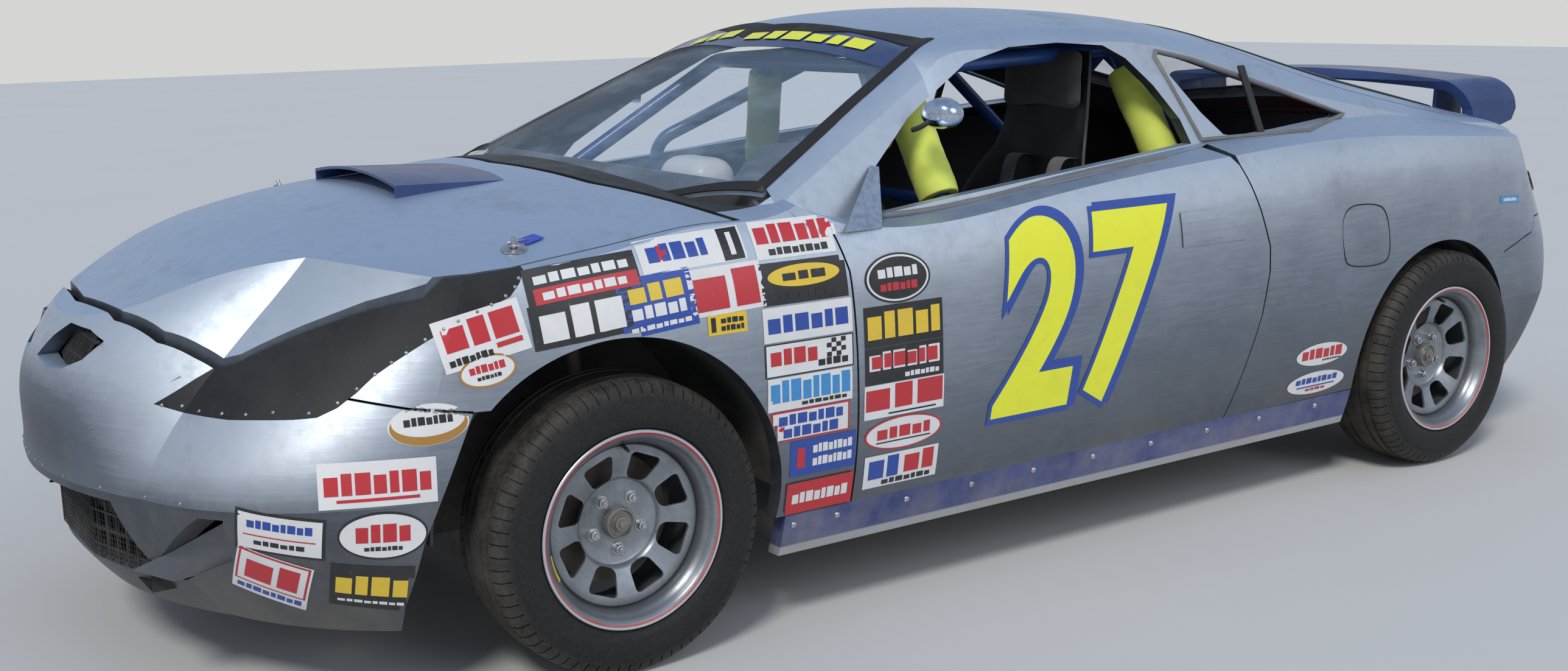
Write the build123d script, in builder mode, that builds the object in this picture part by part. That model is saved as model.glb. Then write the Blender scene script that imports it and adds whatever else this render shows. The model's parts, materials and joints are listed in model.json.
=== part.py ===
from build123d import *
import os

# A compact two-door stock car. Millimetres; X to the car's left, Y to its tail, Z up,
# with the origin on the ground under the middle of the car.

# Overall sizes
WHEELBASE = 2600.0
FRONT_OVERHANG = 950.0
REAR_OVERHANG = 785.0
HALF_LENGTH = (WHEELBASE + FRONT_OVERHANG + REAR_OVERHANG) / 2
FRONT_AXLE = -HALF_LENGTH + FRONT_OVERHANG
REAR_AXLE = FRONT_AXLE + WHEELBASE
HALF_WIDTH = 866.0

# Panels, glass and gaps
WALL = 40.0
ROOF_WALL = 30.0
HOOD_WALL = 26.0
GLASS = 8.0
GAP = 5.0
HOOD_SWING = 12.0
SEAT_GAP = 0.5
RUNNING = 0.05
ROCKER_BOTTOM = 165.0
DOOR_BOTTOM = 262.0

# Wheels and tyres
TYRE_R = 305.0
AXLE_Z = 305.0
TYRE_WIDTH = 205.0
RIM_R = 190.5
RIM_LIP_R = 207.5
TYRE_SIDE = 95.0
FRONT_LIP_X = 848.0
REAR_LIP_X = 880.0
HUB_BORE_R = 30.0
LUG_CIRCLE_R = 57.15
LUG_COUNT = 5
WINDOW_COUNT = 8
FRONT_ARCH_R = 370.0
REAR_ARCH_R = 345.0
STEER_ARM = 110.0
FRONT_ARCH = (FRONT_AXLE - 22, 330.0)
REAR_ARCH = (REAR_AXLE - 19, 298.0)

# Roll cage
TUBE_R = 22.0
SIDE_R = 20.5
BAR_R = 19.0
HOOP_Y = 515.0
HOOP_FOOT_X = 640.0
HOOP_TOP_X = 420.0
CAGE_TOP = 1222.0
PAD_R = 50.0

# Floor and frame
FLOOR_Z = 170.0
FLOOR_PLATE = 5.0
REAR_FLOOR_Z = 390.0
FIREWALL_Y = -800.0
RAIL_X = 430.0
RAIL_WIDTH = 60.0
RAIL_HEIGHT = 100.0
RAIL_Z = 250.0

# Outline of the body seen from above at its widest: named corners of the left half
NOSE_CORNER = (450.0, 112.0)
NOSE_MIDDLE = (700.0, 292.0)
NOSE_END = (800.0, 532.0)
TAIL_START = (838.0, 372.0)
TAIL_MIDDLE = (775.0, 165.0)
TAIL_END = (540.0, 42.0)

# Height of the bumper's ledge, where the body is widest
LEDGE_Z = 430

# Body flanks. One row a height, with how far the outline stands in from the widest one:
# height, nose, front corner, front flank, rear flank, tail
FLANK_ROWS = [
    (165, 130, 150, 60, 60, 120),
    (300, 40, 45, 20, 22, 45),
    (430, 0, 0, 4, 5, 0),
    (530, 0, 45, 0, 0, 8),
    (620, 10, 115, 2, 0, 30),
    (720, 66, 210, 10, 4, 75),
    (820, 185, 310, 38, 14, 125),
    (900, 330, 380, 90, 34, 165),
    (980, 480, 450, 150, 110, 230),
]

# Hood and nose seen from the front. Columns: distance behind the nose, height at the
# centre, height at CREASE_X
CREASE_X = 830.0
HOOD_ROWS = [
    (-60, 680, 560),
    (85, 738, 612),
    (210, 797, 662),
    (310, 846, 710),
    (460, 897, 765),
    (640, 934, 812),
    (780, 950, 835),
    (950, 962, 855),
    (1160, 974, 880),
    (1399.5, 985, 900),
]

# Sills and tail deck. Columns: place along the car, height at the centre, height at CREASE_X
SILL_ROWS = [
    (-768, 985, 900),
    (-600, 912, 852),
    (-100, 955, 872),
    (530, 1030, 915),
    (967, 1072, 929),
    (1407, 1058, 920),
    (1737, 1000, 893),
    (2002, 945, 842),
    (2107, 905, 800),
    (2230, 850, 745),
]

# Roof and pillars. Columns: place along the car, height at the centre, roof edge across
# and up, top of the side glass across and up, foot across
SCREEN_ROWS = [
    (-1115, 915, 560, 850, 690, 790, 760),
    (-790, 1058, 600, 985, 738, 905, 790),
    (-465, 1195, 540, 1125, 645, 1060, 792),
    (-275, 1274, 490, 1210, 590, 1150, 792),
]
ROOF_ROWS = [
    (-275, 1274, 490, 1210, 590, 1150, 792),
    (-60, 1299, 472, 1252, 568, 1208, 792),
    (245, 1303, 475, 1257, 575, 1213, 792),
    (545, 1289, 465, 1240, 575, 1190, 792),
    (830, 1258, 450, 1200, 592, 1110, 790),
    (1100, 1205, 440, 1140, 620, 1040, 786),
    (1400, 1125, 440, 1072, 640, 985, 770),
    (1700, 1040, 450, 1000, 650, 940, 735),
    (2002, 945, 470, 925, 640, 880, 655),
]
ROOF_FOOT_Z = 700.0

# Seams and edges seen from the side, as (along, up)
ARCH_FRONT = [(-1672, 220), (-1640, 347), (-1604, 434), (-1534, 590)]
BUMPER_TOP = [(-1534, 587), (-1640, 602), (-1737, 624), (-1800, 700)]
LAMP_SIDE = [(-2008, 600), (-1968, 587), (-1915, 585), (-1877, 588), (-1825, 591), (-1790, 595),
             (-1756, 611), (-1721, 636), (-1688, 664), (-1658, 684), (-1598, 722), (-1544, 756),
             (-1480, 782), (-1442, 798), (-1421, 821), (-1405, 850), (-1400, 1000), (-1868, 1000),
             (-1868, 684), (-1938, 644)]
DOOR_FRONT = [(-676, 262), (-672, 440), (-674, 600), (-680, 771), (-700, 850)]
DOOR_BACK = [(565, 903), (583, 854), (605, 790), (633, 695), (632, 632), (608, 524),
             (568, 418), (507, 262)]
BELT = [(-760, 868), (-700, 850), (-602, 850), (-309, 874), (0, 896), (300, 924), (531, 945),
        (565, 950), (900, 962), (1185, 985)]
DOOR_GLASS = [(-590, 860), (-534, 939), (-360, 1064), (-143, 1178), (9, 1211), (168, 1217),
              (312, 1206), (377, 1172), (445, 1103), (505, 1015), (520, 953)]
QUARTER_GLASS = [(485, 1172), (508, 1188), (645, 1152), (936, 1067), (1144, 1004), (1160, 990),
                 (1147, 984), (893, 966), (725, 958), (654, 968), (593, 1027)]
TAIL_SEAM = [(1670, 575), (1832, 617), (1858, 660)]

# Seams and edges seen from above, as (across, along), for the left half
HOOD_EDGE = [(0, -2034), (230, -2012), (345, -1964), (412, -1915), (480, -1860), (555, -1758),
             (630, -1662), (713, -1572), (748, -1500), (768, -1425), (772, -925), (400, -1060),
             (0, -1108)]
SCREEN_EDGE = [(0, -1150), (420, -1100), (700, -800), (505, -172), (300, -245), (0, -290)]
HATCH_EDGE = [(0, 832), (462, 832), (560, 1300), (600, 1700), (612, 2300), (0, 2300)]
REAR_GLASS_EDGE = [(0, 880), (410, 880), (505, 1300), (545, 1720), (300, 1775), (0, 1790)]

# Nose openings seen from the front, as (across, up): grille, left nostril and left brake duct
GRILLE_EDGE = [(-355, 412), (355, 412), (388, 245), (-388, 245)]
NOSTRIL_EDGE = [(40, 655), (105, 641), (166, 645), (216, 667), (244, 704), (189, 720), (111, 725),
                (76, 698)]
DUCT_EDGE = [(378, 273), (573, 412), (618, 412), (600, 325), (437, 252)]
OPENING_FRONT = -HALF_LENGTH - 20
GRILLE_BACK = -HALF_LENGTH + 160
NOSTRIL_BACK = -HALF_LENGTH + 128
DUCT_BACK = -HALF_LENGTH + 290
TAIL_LAMP = (700.0, HALF_LENGTH - 150, 770.0)
TAIL_LAMP_SIZE = (150.0, 260.0, 110.0)

LEFT = 1
RIGHT = -1
SIDES = ((LEFT, "left"), (RIGHT, "right"))


def save(part, name):
    """Labels one finished piece and writes it."""
    part.label = name
    export_step(part, f"parts/{name}.step")


def save_pair(part, name):
    """Writes a left-hand piece and its mirror image."""
    save(part, f"left_{name}")
    with BuildPart() as other:
        mirror(part, about=Plane.YZ)
    save(other.part, f"right_{name}")


def flank_points(row, inset):
    """Named points of one outline's left half, from the nose to the tail."""
    _, nose, corner, front, rear, tail = row
    nose_y = -HALF_LENGTH + nose + inset
    return {
        "nose": (0, nose_y),
        "corner": (NOSE_CORNER[0] - inset * 0.3, -HALF_LENGTH + NOSE_CORNER[1] + corner + inset),
        "corner_mid": (NOSE_MIDDLE[0] - 0.4 * corner - inset * 0.75,
                       -HALF_LENGTH + NOSE_MIDDLE[1] + 0.65 * corner + inset * 0.75),
        "corner_end": (NOSE_END[0] - 0.1 * corner - inset,
                       -HALF_LENGTH + NOSE_END[1] + 0.35 * corner),
        "front": (HALF_WIDTH - front - inset, FRONT_AXLE + 60),
        "rear": (HALF_WIDTH - rear - inset, REAR_AXLE - 40),
        "tail_start": (TAIL_START[0] - rear - 0.1 * tail - inset, HALF_LENGTH - TAIL_START[1]),
        "tail_mid": (TAIL_MIDDLE[0] - rear - 0.45 * tail - inset * 0.75,
                     HALF_LENGTH - TAIL_MIDDLE[1] - 0.55 * tail - inset * 0.75),
        "tail_end": (TAIL_END[0] - inset * 0.3, HALF_LENGTH - TAIL_END[1] - tail - inset),
        "tail": (0, HALF_LENGTH - tail - inset),
    }


def mirrored(point):
    """The same point on the car's right."""
    return (-point[0], point[1])


def flank_loft(rows, inset):
    """Smooth body between the given heights."""
    with BuildPart() as form:
        for row in rows:
            at = flank_points(row, inset)
            with BuildSketch(Plane.XY.offset(row[0])):
                with BuildLine():
                    ThreePointArc(mirrored(at["corner"]), at["nose"], at["corner"])
                    ThreePointArc(at["corner"], at["corner_mid"], at["corner_end"])
                    TangentArc(at["front"], at["corner_end"], tangent=(0, -1))
                    Line(at["front"], at["rear"])
                    TangentArc(at["rear"], at["tail_start"], tangent=(0, 1))
                    ThreePointArc(at["tail_start"], at["tail_mid"], at["tail_end"])
                    ThreePointArc(at["tail_end"], at["tail"], mirrored(at["tail_end"]))
                    ThreePointArc(mirrored(at["tail_end"]), mirrored(at["tail_mid"]),
                                  mirrored(at["tail_start"]))
                    TangentArc(mirrored(at["rear"]), mirrored(at["tail_start"]), tangent=(0, 1))
                    Line(mirrored(at["rear"]), mirrored(at["front"]))
                    TangentArc(mirrored(at["front"]), mirrored(at["corner_end"]), tangent=(0, -1))
                    ThreePointArc(mirrored(at["corner_end"]), mirrored(at["corner_mid"]),
                                  mirrored(at["corner"]))
                make_face()
        loft()
    return form.part


def flank_form(inset):
    """Closed body below the windows, with the sharp ledge of its widest outline."""
    ledge = [row[0] for row in FLANK_ROWS].index(LEDGE_Z)
    with BuildPart() as form:
        add(flank_loft(FLANK_ROWS[:ledge + 1], inset))
        add(flank_loft(FLANK_ROWS[ledge:], inset))
    return form.part


def crown_form(stations, drop):
    """Everything under a crowned top, from stations of (along, centre, height at the crease)."""
    reach = 1000.0
    with BuildPart() as form:
        for along, centre, crease in stations:
            sag = (centre - crease) * (reach / CREASE_X) ** 2
            with BuildSketch(Plane.XZ.offset(-along)):
                with BuildLine():
                    Line((reach, centre - sag - drop), (reach, 0))
                    Line((reach, 0), (-reach, 0))
                    Line((-reach, 0), (-reach, centre - sag - drop))
                    ThreePointArc((-reach, centre - sag - drop), (0, centre - drop),
                                  (reach, centre - sag - drop))
                make_face()
        loft()
    return form.part


def top_form(drop):
    """Hood crown, then the sills and the tail crown."""
    hood = [(-HALF_LENGTH + back, centre, crease) for back, centre, crease in HOOD_ROWS]
    with BuildPart() as form:
        add(crown_form(hood, drop))
        add(crown_form(SILL_ROWS, drop))
    return form.part


def body_form(inset, drop):
    """Lower body between its flanks and under its crown."""
    with BuildPart() as form:
        add(flank_form(inset))
        add(top_form(drop), mode=Mode.INTERSECT)
    return form.part


def roof_loft(rows, inset, straight):
    """Upper body through the given stations, standing in by the inset."""
    with BuildPart() as form:
        for row in rows:
            along, centre, edge_x, edge_z, glass_x, glass_z, foot_x = row
            if row is ROOF_ROWS[-1]:
                along -= inset
            peak = (0, centre - inset)
            edge = (edge_x - inset * 0.45, edge_z - inset * 0.9)
            glass = (glass_x - inset * 0.9, glass_z - inset * 0.5)
            foot = (foot_x - inset, ROOF_FOOT_Z)
            bow = ((edge[0] + glass[0]) / 2 + 7, (edge[1] + glass[1]) / 2 + 9)
            side = ((glass[0] + foot[0]) / 2 + 9, (glass[1] + foot[1]) / 2 + 6)
            with BuildSketch(Plane.XZ.offset(-along)):
                with BuildLine():
                    ThreePointArc(mirrored(edge), peak, edge)
                    ThreePointArc(edge, bow, glass)
                    ThreePointArc(glass, side, foot)
                    Line(foot, mirrored(foot))
                    ThreePointArc(mirrored(foot), mirrored(side), mirrored(glass))
                    ThreePointArc(mirrored(glass), mirrored(bow), mirrored(edge))
                make_face()
        loft(ruled=straight)
    return form.part


def roof_form(inset):
    """Closed upper body: a straight-lined screen, then a curved roof and tail."""
    with BuildPart() as form:
        add(roof_loft(SCREEN_ROWS, inset, True))
        add(roof_loft(ROOF_ROWS, inset, False))
    return form.part


def side_prism(points, near, far, grow=0):
    """A side-view outline, as (along, up), drawn out across the car from near to far."""
    with BuildPart() as form:
        with BuildSketch(Plane.YZ.offset(min(near, far))):
            with BuildLine():
                Polyline(*points, close=True)
            make_face()
            if grow:
                offset(amount=grow, kind=Kind.INTERSECTION)
        extrude(amount=abs(far - near))
    return form.part


def plan_prism(points, low, high, grow=0):
    """A plan outline, as (across, along), drawn up from low to high."""
    with BuildPart() as form:
        with BuildSketch(Plane.XY.offset(low)):
            with BuildLine():
                Polyline(*points, close=True)
            make_face()
            if grow:
                offset(amount=grow, kind=Kind.INTERSECTION)
        extrude(amount=high - low)
    return form.part


def front_prism(points, near, far, grow=0):
    """A front-view outline, as (across, up), drawn back along the car from near to far."""
    with BuildPart() as form:
        with BuildSketch(Plane.XZ.offset(-far)):
            with BuildLine():
                Polyline(*points, close=True)
            make_face()
            if grow:
                offset(amount=grow, kind=Kind.INTERSECTION)
        extrude(amount=far - near)
    return form.part


def both(points):
    """A half outline from the centreline out, with its mirror image."""
    far = [mirrored(point) for point in reversed(points) if point[0] != 0]
    return list(points) + far


os.makedirs("parts", exist_ok=True)
BEYOND = 1200.0
FAR_AHEAD = -2400.0
FAR_BACK = 2400.0
UPPER = 1500.0

# The whole skin, and its front, middle and back stretches
outer_roof = roof_form(0)
with BuildPart() as cavity:
    add(body_form(WALL, HOOD_WALL))
    add(roof_form(ROOF_WALL))
inner = cavity.part
with BuildPart() as outer:
    add(body_form(0, 0))
    add(outer_roof)
with BuildPart() as skin:
    add(outer)
    add(inner, mode=Mode.SUBTRACT)
seat_surface = outer.part.moved(Location((0, 0, SEAT_GAP)))


def skin_stretch(start, end):
    """The skin between two places along the car."""
    with BuildPart() as stretch:
        add(skin)
        with Locations((0, (start + end) / 2, UPPER / 2)):
            Box(2 * BEYOND, end - start, UPPER, mode=Mode.INTERSECT)
    return stretch.part


front_skin = skin_stretch(FAR_AHEAD, -660)
middle_skin = skin_stretch(-800, 1200)
back_skin = skin_stretch(480, FAR_BACK)

hood_region = plan_prism(both(HOOD_EDGE), 650, UPPER)
with BuildPart() as hood_hole:
    with BuildSketch(Plane.XY.offset(650)):
        for swing in (-HOOD_SWING, 0, HOOD_SWING):
            with BuildLine():
                Polyline(*((x, y + swing) for x, y in both(HOOD_EDGE)), close=True)
            make_face()
        offset(amount=GAP, kind=Kind.INTERSECTION)
    extrude(amount=UPPER - 650)
hood_gap = hood_hole.part
screen_region = plan_prism(both(SCREEN_EDGE), 850, UPPER)
screen_gap = plan_prism(both(SCREEN_EDGE), 850, UPPER, SEAT_GAP)
cowl_region = plan_prism([(-715, -1200), (715, -1200), (715, -790), (-715, -790)], 800, UPPER)
hatch_region = plan_prism(both(HATCH_EDGE), 665, UPPER)
hatch_gap = plan_prism(both(HATCH_EDGE), 660, UPPER, GAP)
rear_glass_region = plan_prism(both(REAR_GLASS_EDGE), 850, UPPER)

nose_side = [(FAR_AHEAD, 100), (-1534, 100), *BUMPER_TOP, (-1800, UPPER), (FAR_AHEAD, UPPER)]
fender_side = [*reversed([(y, z + GAP) for y, z in BUMPER_TOP[:-1]]), (-1534, 262 + GAP),
               *[(y - GAP, z) for y, z in DOOR_FRONT], (-760 - GAP, 868), (-790, 900),
               (-790, UPPER), (-1795, UPPER), (-1795, 705)]
door_side = [*DOOR_FRONT, *[point for point in BELT if -650 < point[0] < 540], *DOOR_BACK]
roof_side = [(y, z + SEAT_GAP) for y, z in BELT] + [(1185, UPPER), (-790 + SEAT_GAP, UPPER),
                                                    (-790 + SEAT_GAP, 900)]
quarter_side = [*[(y + GAP, z) for y, z in reversed(DOOR_BACK)],
                *[(y, z) for y, z in BELT if y > 560], (1185 + SEAT_GAP, UPPER), (FAR_BACK, UPPER),
                (FAR_BACK, 660 + GAP), *[(y, z + GAP) for y, z in reversed(TAIL_SEAM)],
                (1670, 262 + GAP)]
tail_side = [(1670, 100), *TAIL_SEAM, (FAR_BACK, 660), (FAR_BACK, 100)]


def arch_cutter(side, centre, radius, front_points):
    """Wheel opening drawn through one side of the body."""
    with BuildPart() as cutter:
        with BuildSketch(Plane.YZ.offset(side * 480 if side > 0 else -BEYOND)):
            with Locations(centre):
                Circle(radius)
            if front_points:
                with BuildLine():
                    Polyline((centre[0], 100), (front_points[0][0], 100), *front_points,
                             (centre[0], front_points[-1][1]), close=True)
                make_face()
            with Locations((centre[0], centre[1] / 2)):
                Rectangle(2 * radius * 0.93, centre[1])
        extrude(amount=BEYOND - 480)
    return cutter.part



# Outer panels
with BuildPart() as nose:
    add(front_skin)
    add(side_prism(nose_side, -BEYOND, BEYOND), mode=Mode.INTERSECT)
    add(hood_gap, mode=Mode.SUBTRACT)
    for side in (LEFT, RIGHT):
        add(side_prism(LAMP_SIDE, side * 225, side * BEYOND, SEAT_GAP), mode=Mode.SUBTRACT)
        add(arch_cutter(side, FRONT_ARCH, FRONT_ARCH_R, ARCH_FRONT), mode=Mode.SUBTRACT)
    add(front_prism(GRILLE_EDGE, OPENING_FRONT, GRILLE_BACK), mode=Mode.SUBTRACT)
    for edge, back in ((NOSTRIL_EDGE, NOSTRIL_BACK), (DUCT_EDGE, DUCT_BACK)):
        add(front_prism(edge, OPENING_FRONT, back), mode=Mode.SUBTRACT)
        add(front_prism([mirrored(point) for point in edge], OPENING_FRONT, back), mode=Mode.SUBTRACT)
save(nose.part, "nose_bumper")

# Wire mesh in the grille, bent to the nose, and a sloping plate of it in each nostril
MESH_WIRE = 5.0
MESH_PITCH = 36.0
GRILLE_MESH = [(-388, -2022), (-150, -2088), (150, -2088), (388, -2022)]
NOSTRIL_MESH = [(-2107, 632), (-2050, 732), (-2044, 732), (-2101, 632)]


def mesh_holes(middle, across, up, near, far):
    """The square holes of a wire mesh seen from the front."""
    with BuildPart() as holes:
        with BuildSketch(Plane.XZ.offset(-far)):
            with Locations(middle):
                with GridLocations(MESH_PITCH, MESH_PITCH, across, up):
                    Rectangle(MESH_PITCH - MESH_WIRE, MESH_PITCH - MESH_WIRE)
        extrude(amount=far - near)
    return holes.part


with BuildPart() as mesh:
    with BuildSketch(Plane.XY.offset(240)):
        with BuildLine():
            Polyline(*GRILLE_MESH, *((x, y + MESH_WIRE) for x, y in reversed(GRILLE_MESH)), close=True)
        make_face()
    extrude(amount=180)
    add(front_prism(GRILLE_EDGE, OPENING_FRONT, GRILLE_BACK, -SEAT_GAP), mode=Mode.INTERSECT)
    add(mesh_holes((0, 328), 21, 5, -2100, GRILLE_BACK), mode=Mode.SUBTRACT)
    for side in (LEFT, RIGHT):
        with BuildPart() as plate:
            with BuildSketch(Plane.YZ.offset(side * 30)):
                with BuildLine():
                    Polyline(*NOSTRIL_MESH, close=True)
                make_face()
            extrude(amount=side * 230)
            add(front_prism([(side * x, z) for x, z in NOSTRIL_EDGE], OPENING_FRONT, NOSTRIL_BACK, -SEAT_GAP),
                mode=Mode.INTERSECT)
            add(mesh_holes((side * 140, 683), 6, 3, -2120, NOSTRIL_BACK), mode=Mode.SUBTRACT)
        add(plate)
save(mesh.part, "grille_mesh")

with BuildPart() as lamps:
    add(front_skin)
    add(side_prism(LAMP_SIDE, -BEYOND, BEYOND), mode=Mode.INTERSECT)
    add(hood_gap, mode=Mode.SUBTRACT)
    with Locations((0, -1800, 700)):
        Box(450, 1000, 1000, mode=Mode.SUBTRACT)
save(lamps.part, "headlight_covers")

with BuildPart() as fender:
    add(front_skin)
    add(side_prism(fender_side, 0, BEYOND), mode=Mode.INTERSECT)
    add(hood_gap, mode=Mode.SUBTRACT)
    add(cowl_region, mode=Mode.SUBTRACT)
    add(side_prism(LAMP_SIDE, 225, BEYOND, SEAT_GAP), mode=Mode.SUBTRACT)
    add(arch_cutter(LEFT, FRONT_ARCH, FRONT_ARCH_R, ARCH_FRONT), mode=Mode.SUBTRACT)
save_pair(fender.part, "fender")

with BuildPart() as cowl:
    add(front_skin)
    add(cowl_region, mode=Mode.INTERSECT)
    add(hood_gap, mode=Mode.SUBTRACT)
    add(outer_roof, mode=Mode.SUBTRACT)
save(cowl.part, "cowl")

with BuildPart() as hood:
    add(front_skin)
    add(hood_region, mode=Mode.INTERSECT)
save(hood.part, "hood")

# Scoop on the hood, open at its front. Stations: along, height at the side, at the middle
SCOOP_HALF = 250.0
SCOOP_WALL = 6.0
SCOOP_ROWS = [(-1440, 962, 982), (-1170, 955, 967)]
with BuildPart() as scoop:
    for inset, mode in ((0, Mode.ADD), (SCOOP_WALL, Mode.SUBTRACT)):
        for along, side_z, middle_z in SCOOP_ROWS:
            start = along - 1 if inset and along == SCOOP_ROWS[0][0] else along - 8 * inset
            half = SCOOP_HALF - inset
            with BuildSketch(Plane.XZ.offset(-start)):
                with BuildLine():
                    ThreePointArc((-half, side_z - inset), (0, middle_z - inset), (half, side_z - inset))
                    Polyline((half, side_z - inset), (half, 850), (-half, 850), (-half, side_z - inset))
                make_face()
        loft(mode=mode)
    add(seat_surface, mode=Mode.SUBTRACT)
save(scoop.part, "hood_scoop")

with BuildPart() as door:
    add(middle_skin)
    add(side_prism(door_side, 0, BEYOND), mode=Mode.INTERSECT)
save_pair(door.part, "door")

with BuildPart() as roof:
    add(middle_skin)
    add(side_prism(roof_side, -BEYOND, BEYOND), mode=Mode.INTERSECT)
    add(screen_gap, mode=Mode.SUBTRACT)
    add(hatch_gap, mode=Mode.SUBTRACT)
    add(side_prism(DOOR_GLASS, -BEYOND, BEYOND), mode=Mode.SUBTRACT)
    add(side_prism(QUARTER_GLASS, -BEYOND, BEYOND), mode=Mode.SUBTRACT)
save(roof.part, "roof")

with BuildPart() as quarter:
    add(back_skin)
    add(side_prism(quarter_side, 0, BEYOND), mode=Mode.INTERSECT)
    add(hatch_gap, mode=Mode.SUBTRACT)
    add(side_prism(QUARTER_GLASS, 0, BEYOND), mode=Mode.SUBTRACT)
    add(arch_cutter(LEFT, REAR_ARCH, REAR_ARCH_R, None), mode=Mode.SUBTRACT)
    with Locations(TAIL_LAMP):
        Box(*TAIL_LAMP_SIZE, mode=Mode.SUBTRACT)
save_pair(quarter.part, "quarter")

with BuildPart() as lamp_glass:
    add(back_skin)
    with Locations(TAIL_LAMP, (-TAIL_LAMP[0], *TAIL_LAMP[1:])):
        Box(*(size - SEAT_GAP for size in TAIL_LAMP_SIZE), mode=Mode.INTERSECT)
    add(hatch_gap, mode=Mode.SUBTRACT)
save(lamp_glass.part, "tail_lights")

with BuildPart() as tail:
    add(back_skin)
    add(side_prism(tail_side, -BEYOND, BEYOND), mode=Mode.INTERSECT)
    for side in (LEFT, RIGHT):
        add(arch_cutter(side, REAR_ARCH, REAR_ARCH_R, None), mode=Mode.SUBTRACT)
save(tail.part, "rear_bumper")

with BuildPart() as hatch:
    add(back_skin)
    add(hatch_region, mode=Mode.INTERSECT)
    add(rear_glass_region, mode=Mode.SUBTRACT)
save(hatch.part, "hatch")

with BuildPart() as rockers:
    add(skin)
    with Locations((0, 85, (ROCKER_BOTTOM + DOOR_BOTTOM) / 2 - GAP)):
        Box(2 * BEYOND, 1870, DOOR_BOTTOM - ROCKER_BOTTOM + 10, mode=Mode.INTERSECT)
save(rockers.part, "rocker_panels")

screen_skin = outer_roof - roof_form(GLASS)
with BuildPart() as screen:
    add(screen_skin)
    add(screen_region, mode=Mode.INTERSECT)
save(screen.part, "windshield")
with BuildPart() as rear_glass:
    add(screen_skin)
    add(rear_glass_region, mode=Mode.INTERSECT)
save(rear_glass.part, "rear_glass")

# Steering axis of a front wheel, as (across, up), and the rack behind the axle
KING_TOP = (570.0, 840.0)
KING_FOOT = (672.0, 185.0)
RACK_Z = 232.0
RACK_Y = FRONT_AXLE + STEER_ARM
RACK_BAR_R = 10.0
RACK_HOUSING_R = 16.0
RACK_LENGTH = 780.0


def tube(points, radius, bend=60.0, bore=0.0):
    """Round tube along straight runs with rounded corners."""
    with BuildPart() as piece:
        with BuildLine() as path:
            if len(points) > 2:
                FilletPolyline(*points, radius=bend)
            else:
                Line(*points)
        with BuildSketch(Plane(origin=path.line @ 0, z_dir=path.line % 0)):
            Circle(radius)
            if bore:
                Circle(bore, mode=Mode.SUBTRACT)
        sweep()
    return piece.part


# Floor: a flat plate with a raised tunnel, its kick-up to the tail floor, and the firewall
FIREWALL_PLATE = 8.0
FIREWALL_TOP = 950.0
TUNNEL_HALF = 110.0
TUNNEL_TOP = 330.0
FLOOR_FRONT = FIREWALL_Y
KICK_Y = 950.0
with BuildPart() as floor:
    with Locations((0, (FLOOR_FRONT + KICK_Y) / 2, FLOOR_Z + FLOOR_PLATE / 2)):
        Box(2000, KICK_Y - FLOOR_FRONT, FLOOR_PLATE)
    with Locations((0, KICK_Y - FLOOR_PLATE / 2, (FLOOR_Z + REAR_FLOOR_Z) / 2)):
        Box(2000, FLOOR_PLATE, REAR_FLOOR_Z - FLOOR_Z)
    with BuildSketch(Plane.XZ.offset(-FLOOR_FRONT)):
        with BuildLine():
            Polyline((-TUNNEL_HALF, FLOOR_Z), (-TUNNEL_HALF + 25, TUNNEL_TOP),
                     (TUNNEL_HALF - 25, TUNNEL_TOP), (TUNNEL_HALF, FLOOR_Z), close=True)
        make_face()
    extrude(amount=-(KICK_Y - FLOOR_FRONT))
    with BuildSketch(Plane.XZ.offset(-FLOOR_FRONT)):
        with BuildLine():
            Polyline((-TUNNEL_HALF + 5, FLOOR_Z - 5), (-TUNNEL_HALF + 30, TUNNEL_TOP - 5),
                     (TUNNEL_HALF - 30, TUNNEL_TOP - 5), (TUNNEL_HALF - 5, FLOOR_Z - 5), close=True)
        make_face()
    extrude(amount=-(KICK_Y - FLOOR_FRONT), mode=Mode.SUBTRACT)
    with Locations((0, FIREWALL_Y - FIREWALL_PLATE / 2, (FLOOR_Z + FIREWALL_TOP) / 2)):
        Box(2000, FIREWALL_PLATE, FIREWALL_TOP - FLOOR_Z)
    with Locations((0, FIREWALL_Y - FIREWALL_PLATE / 2, FLOOR_Z)):
        Box(2 * TUNNEL_HALF - 60, FIREWALL_PLATE, 2 * (TUNNEL_TOP - FLOOR_Z - 10), mode=Mode.SUBTRACT)
    add(inner, mode=Mode.INTERSECT)
save(floor.part, "floor_pan")

# Tail floor with its wheel tubs and strut towers
TUB_INNER = 600.0
TUB_WALL = 5.0
with BuildPart() as rear_floor:
    with Locations((0, (KICK_Y + 2040) / 2, REAR_FLOOR_Z + FLOOR_PLATE / 2)):
        Box(2 * TUB_INNER, 2040 - KICK_Y, FLOOR_PLATE)
    for side in (LEFT, RIGHT):
        with BuildSketch(Plane.YZ.offset(side * TUB_INNER)):
            with Locations(REAR_ARCH):
                Circle(REAR_ARCH_R + TUB_WALL)
        extrude(amount=side * 300)
        with BuildSketch(Plane.YZ.offset(side * (TUB_INNER + TUB_WALL))):
            with Locations(REAR_ARCH):
                Circle(REAR_ARCH_R)
        extrude(amount=side * 300, mode=Mode.SUBTRACT)
    with Locations((0, REAR_AXLE, 150)):
        Box(2400, 900, 300, mode=Mode.SUBTRACT)
    add(inner, mode=Mode.INTERSECT)
save(rear_floor.part, "rear_floor")

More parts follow.
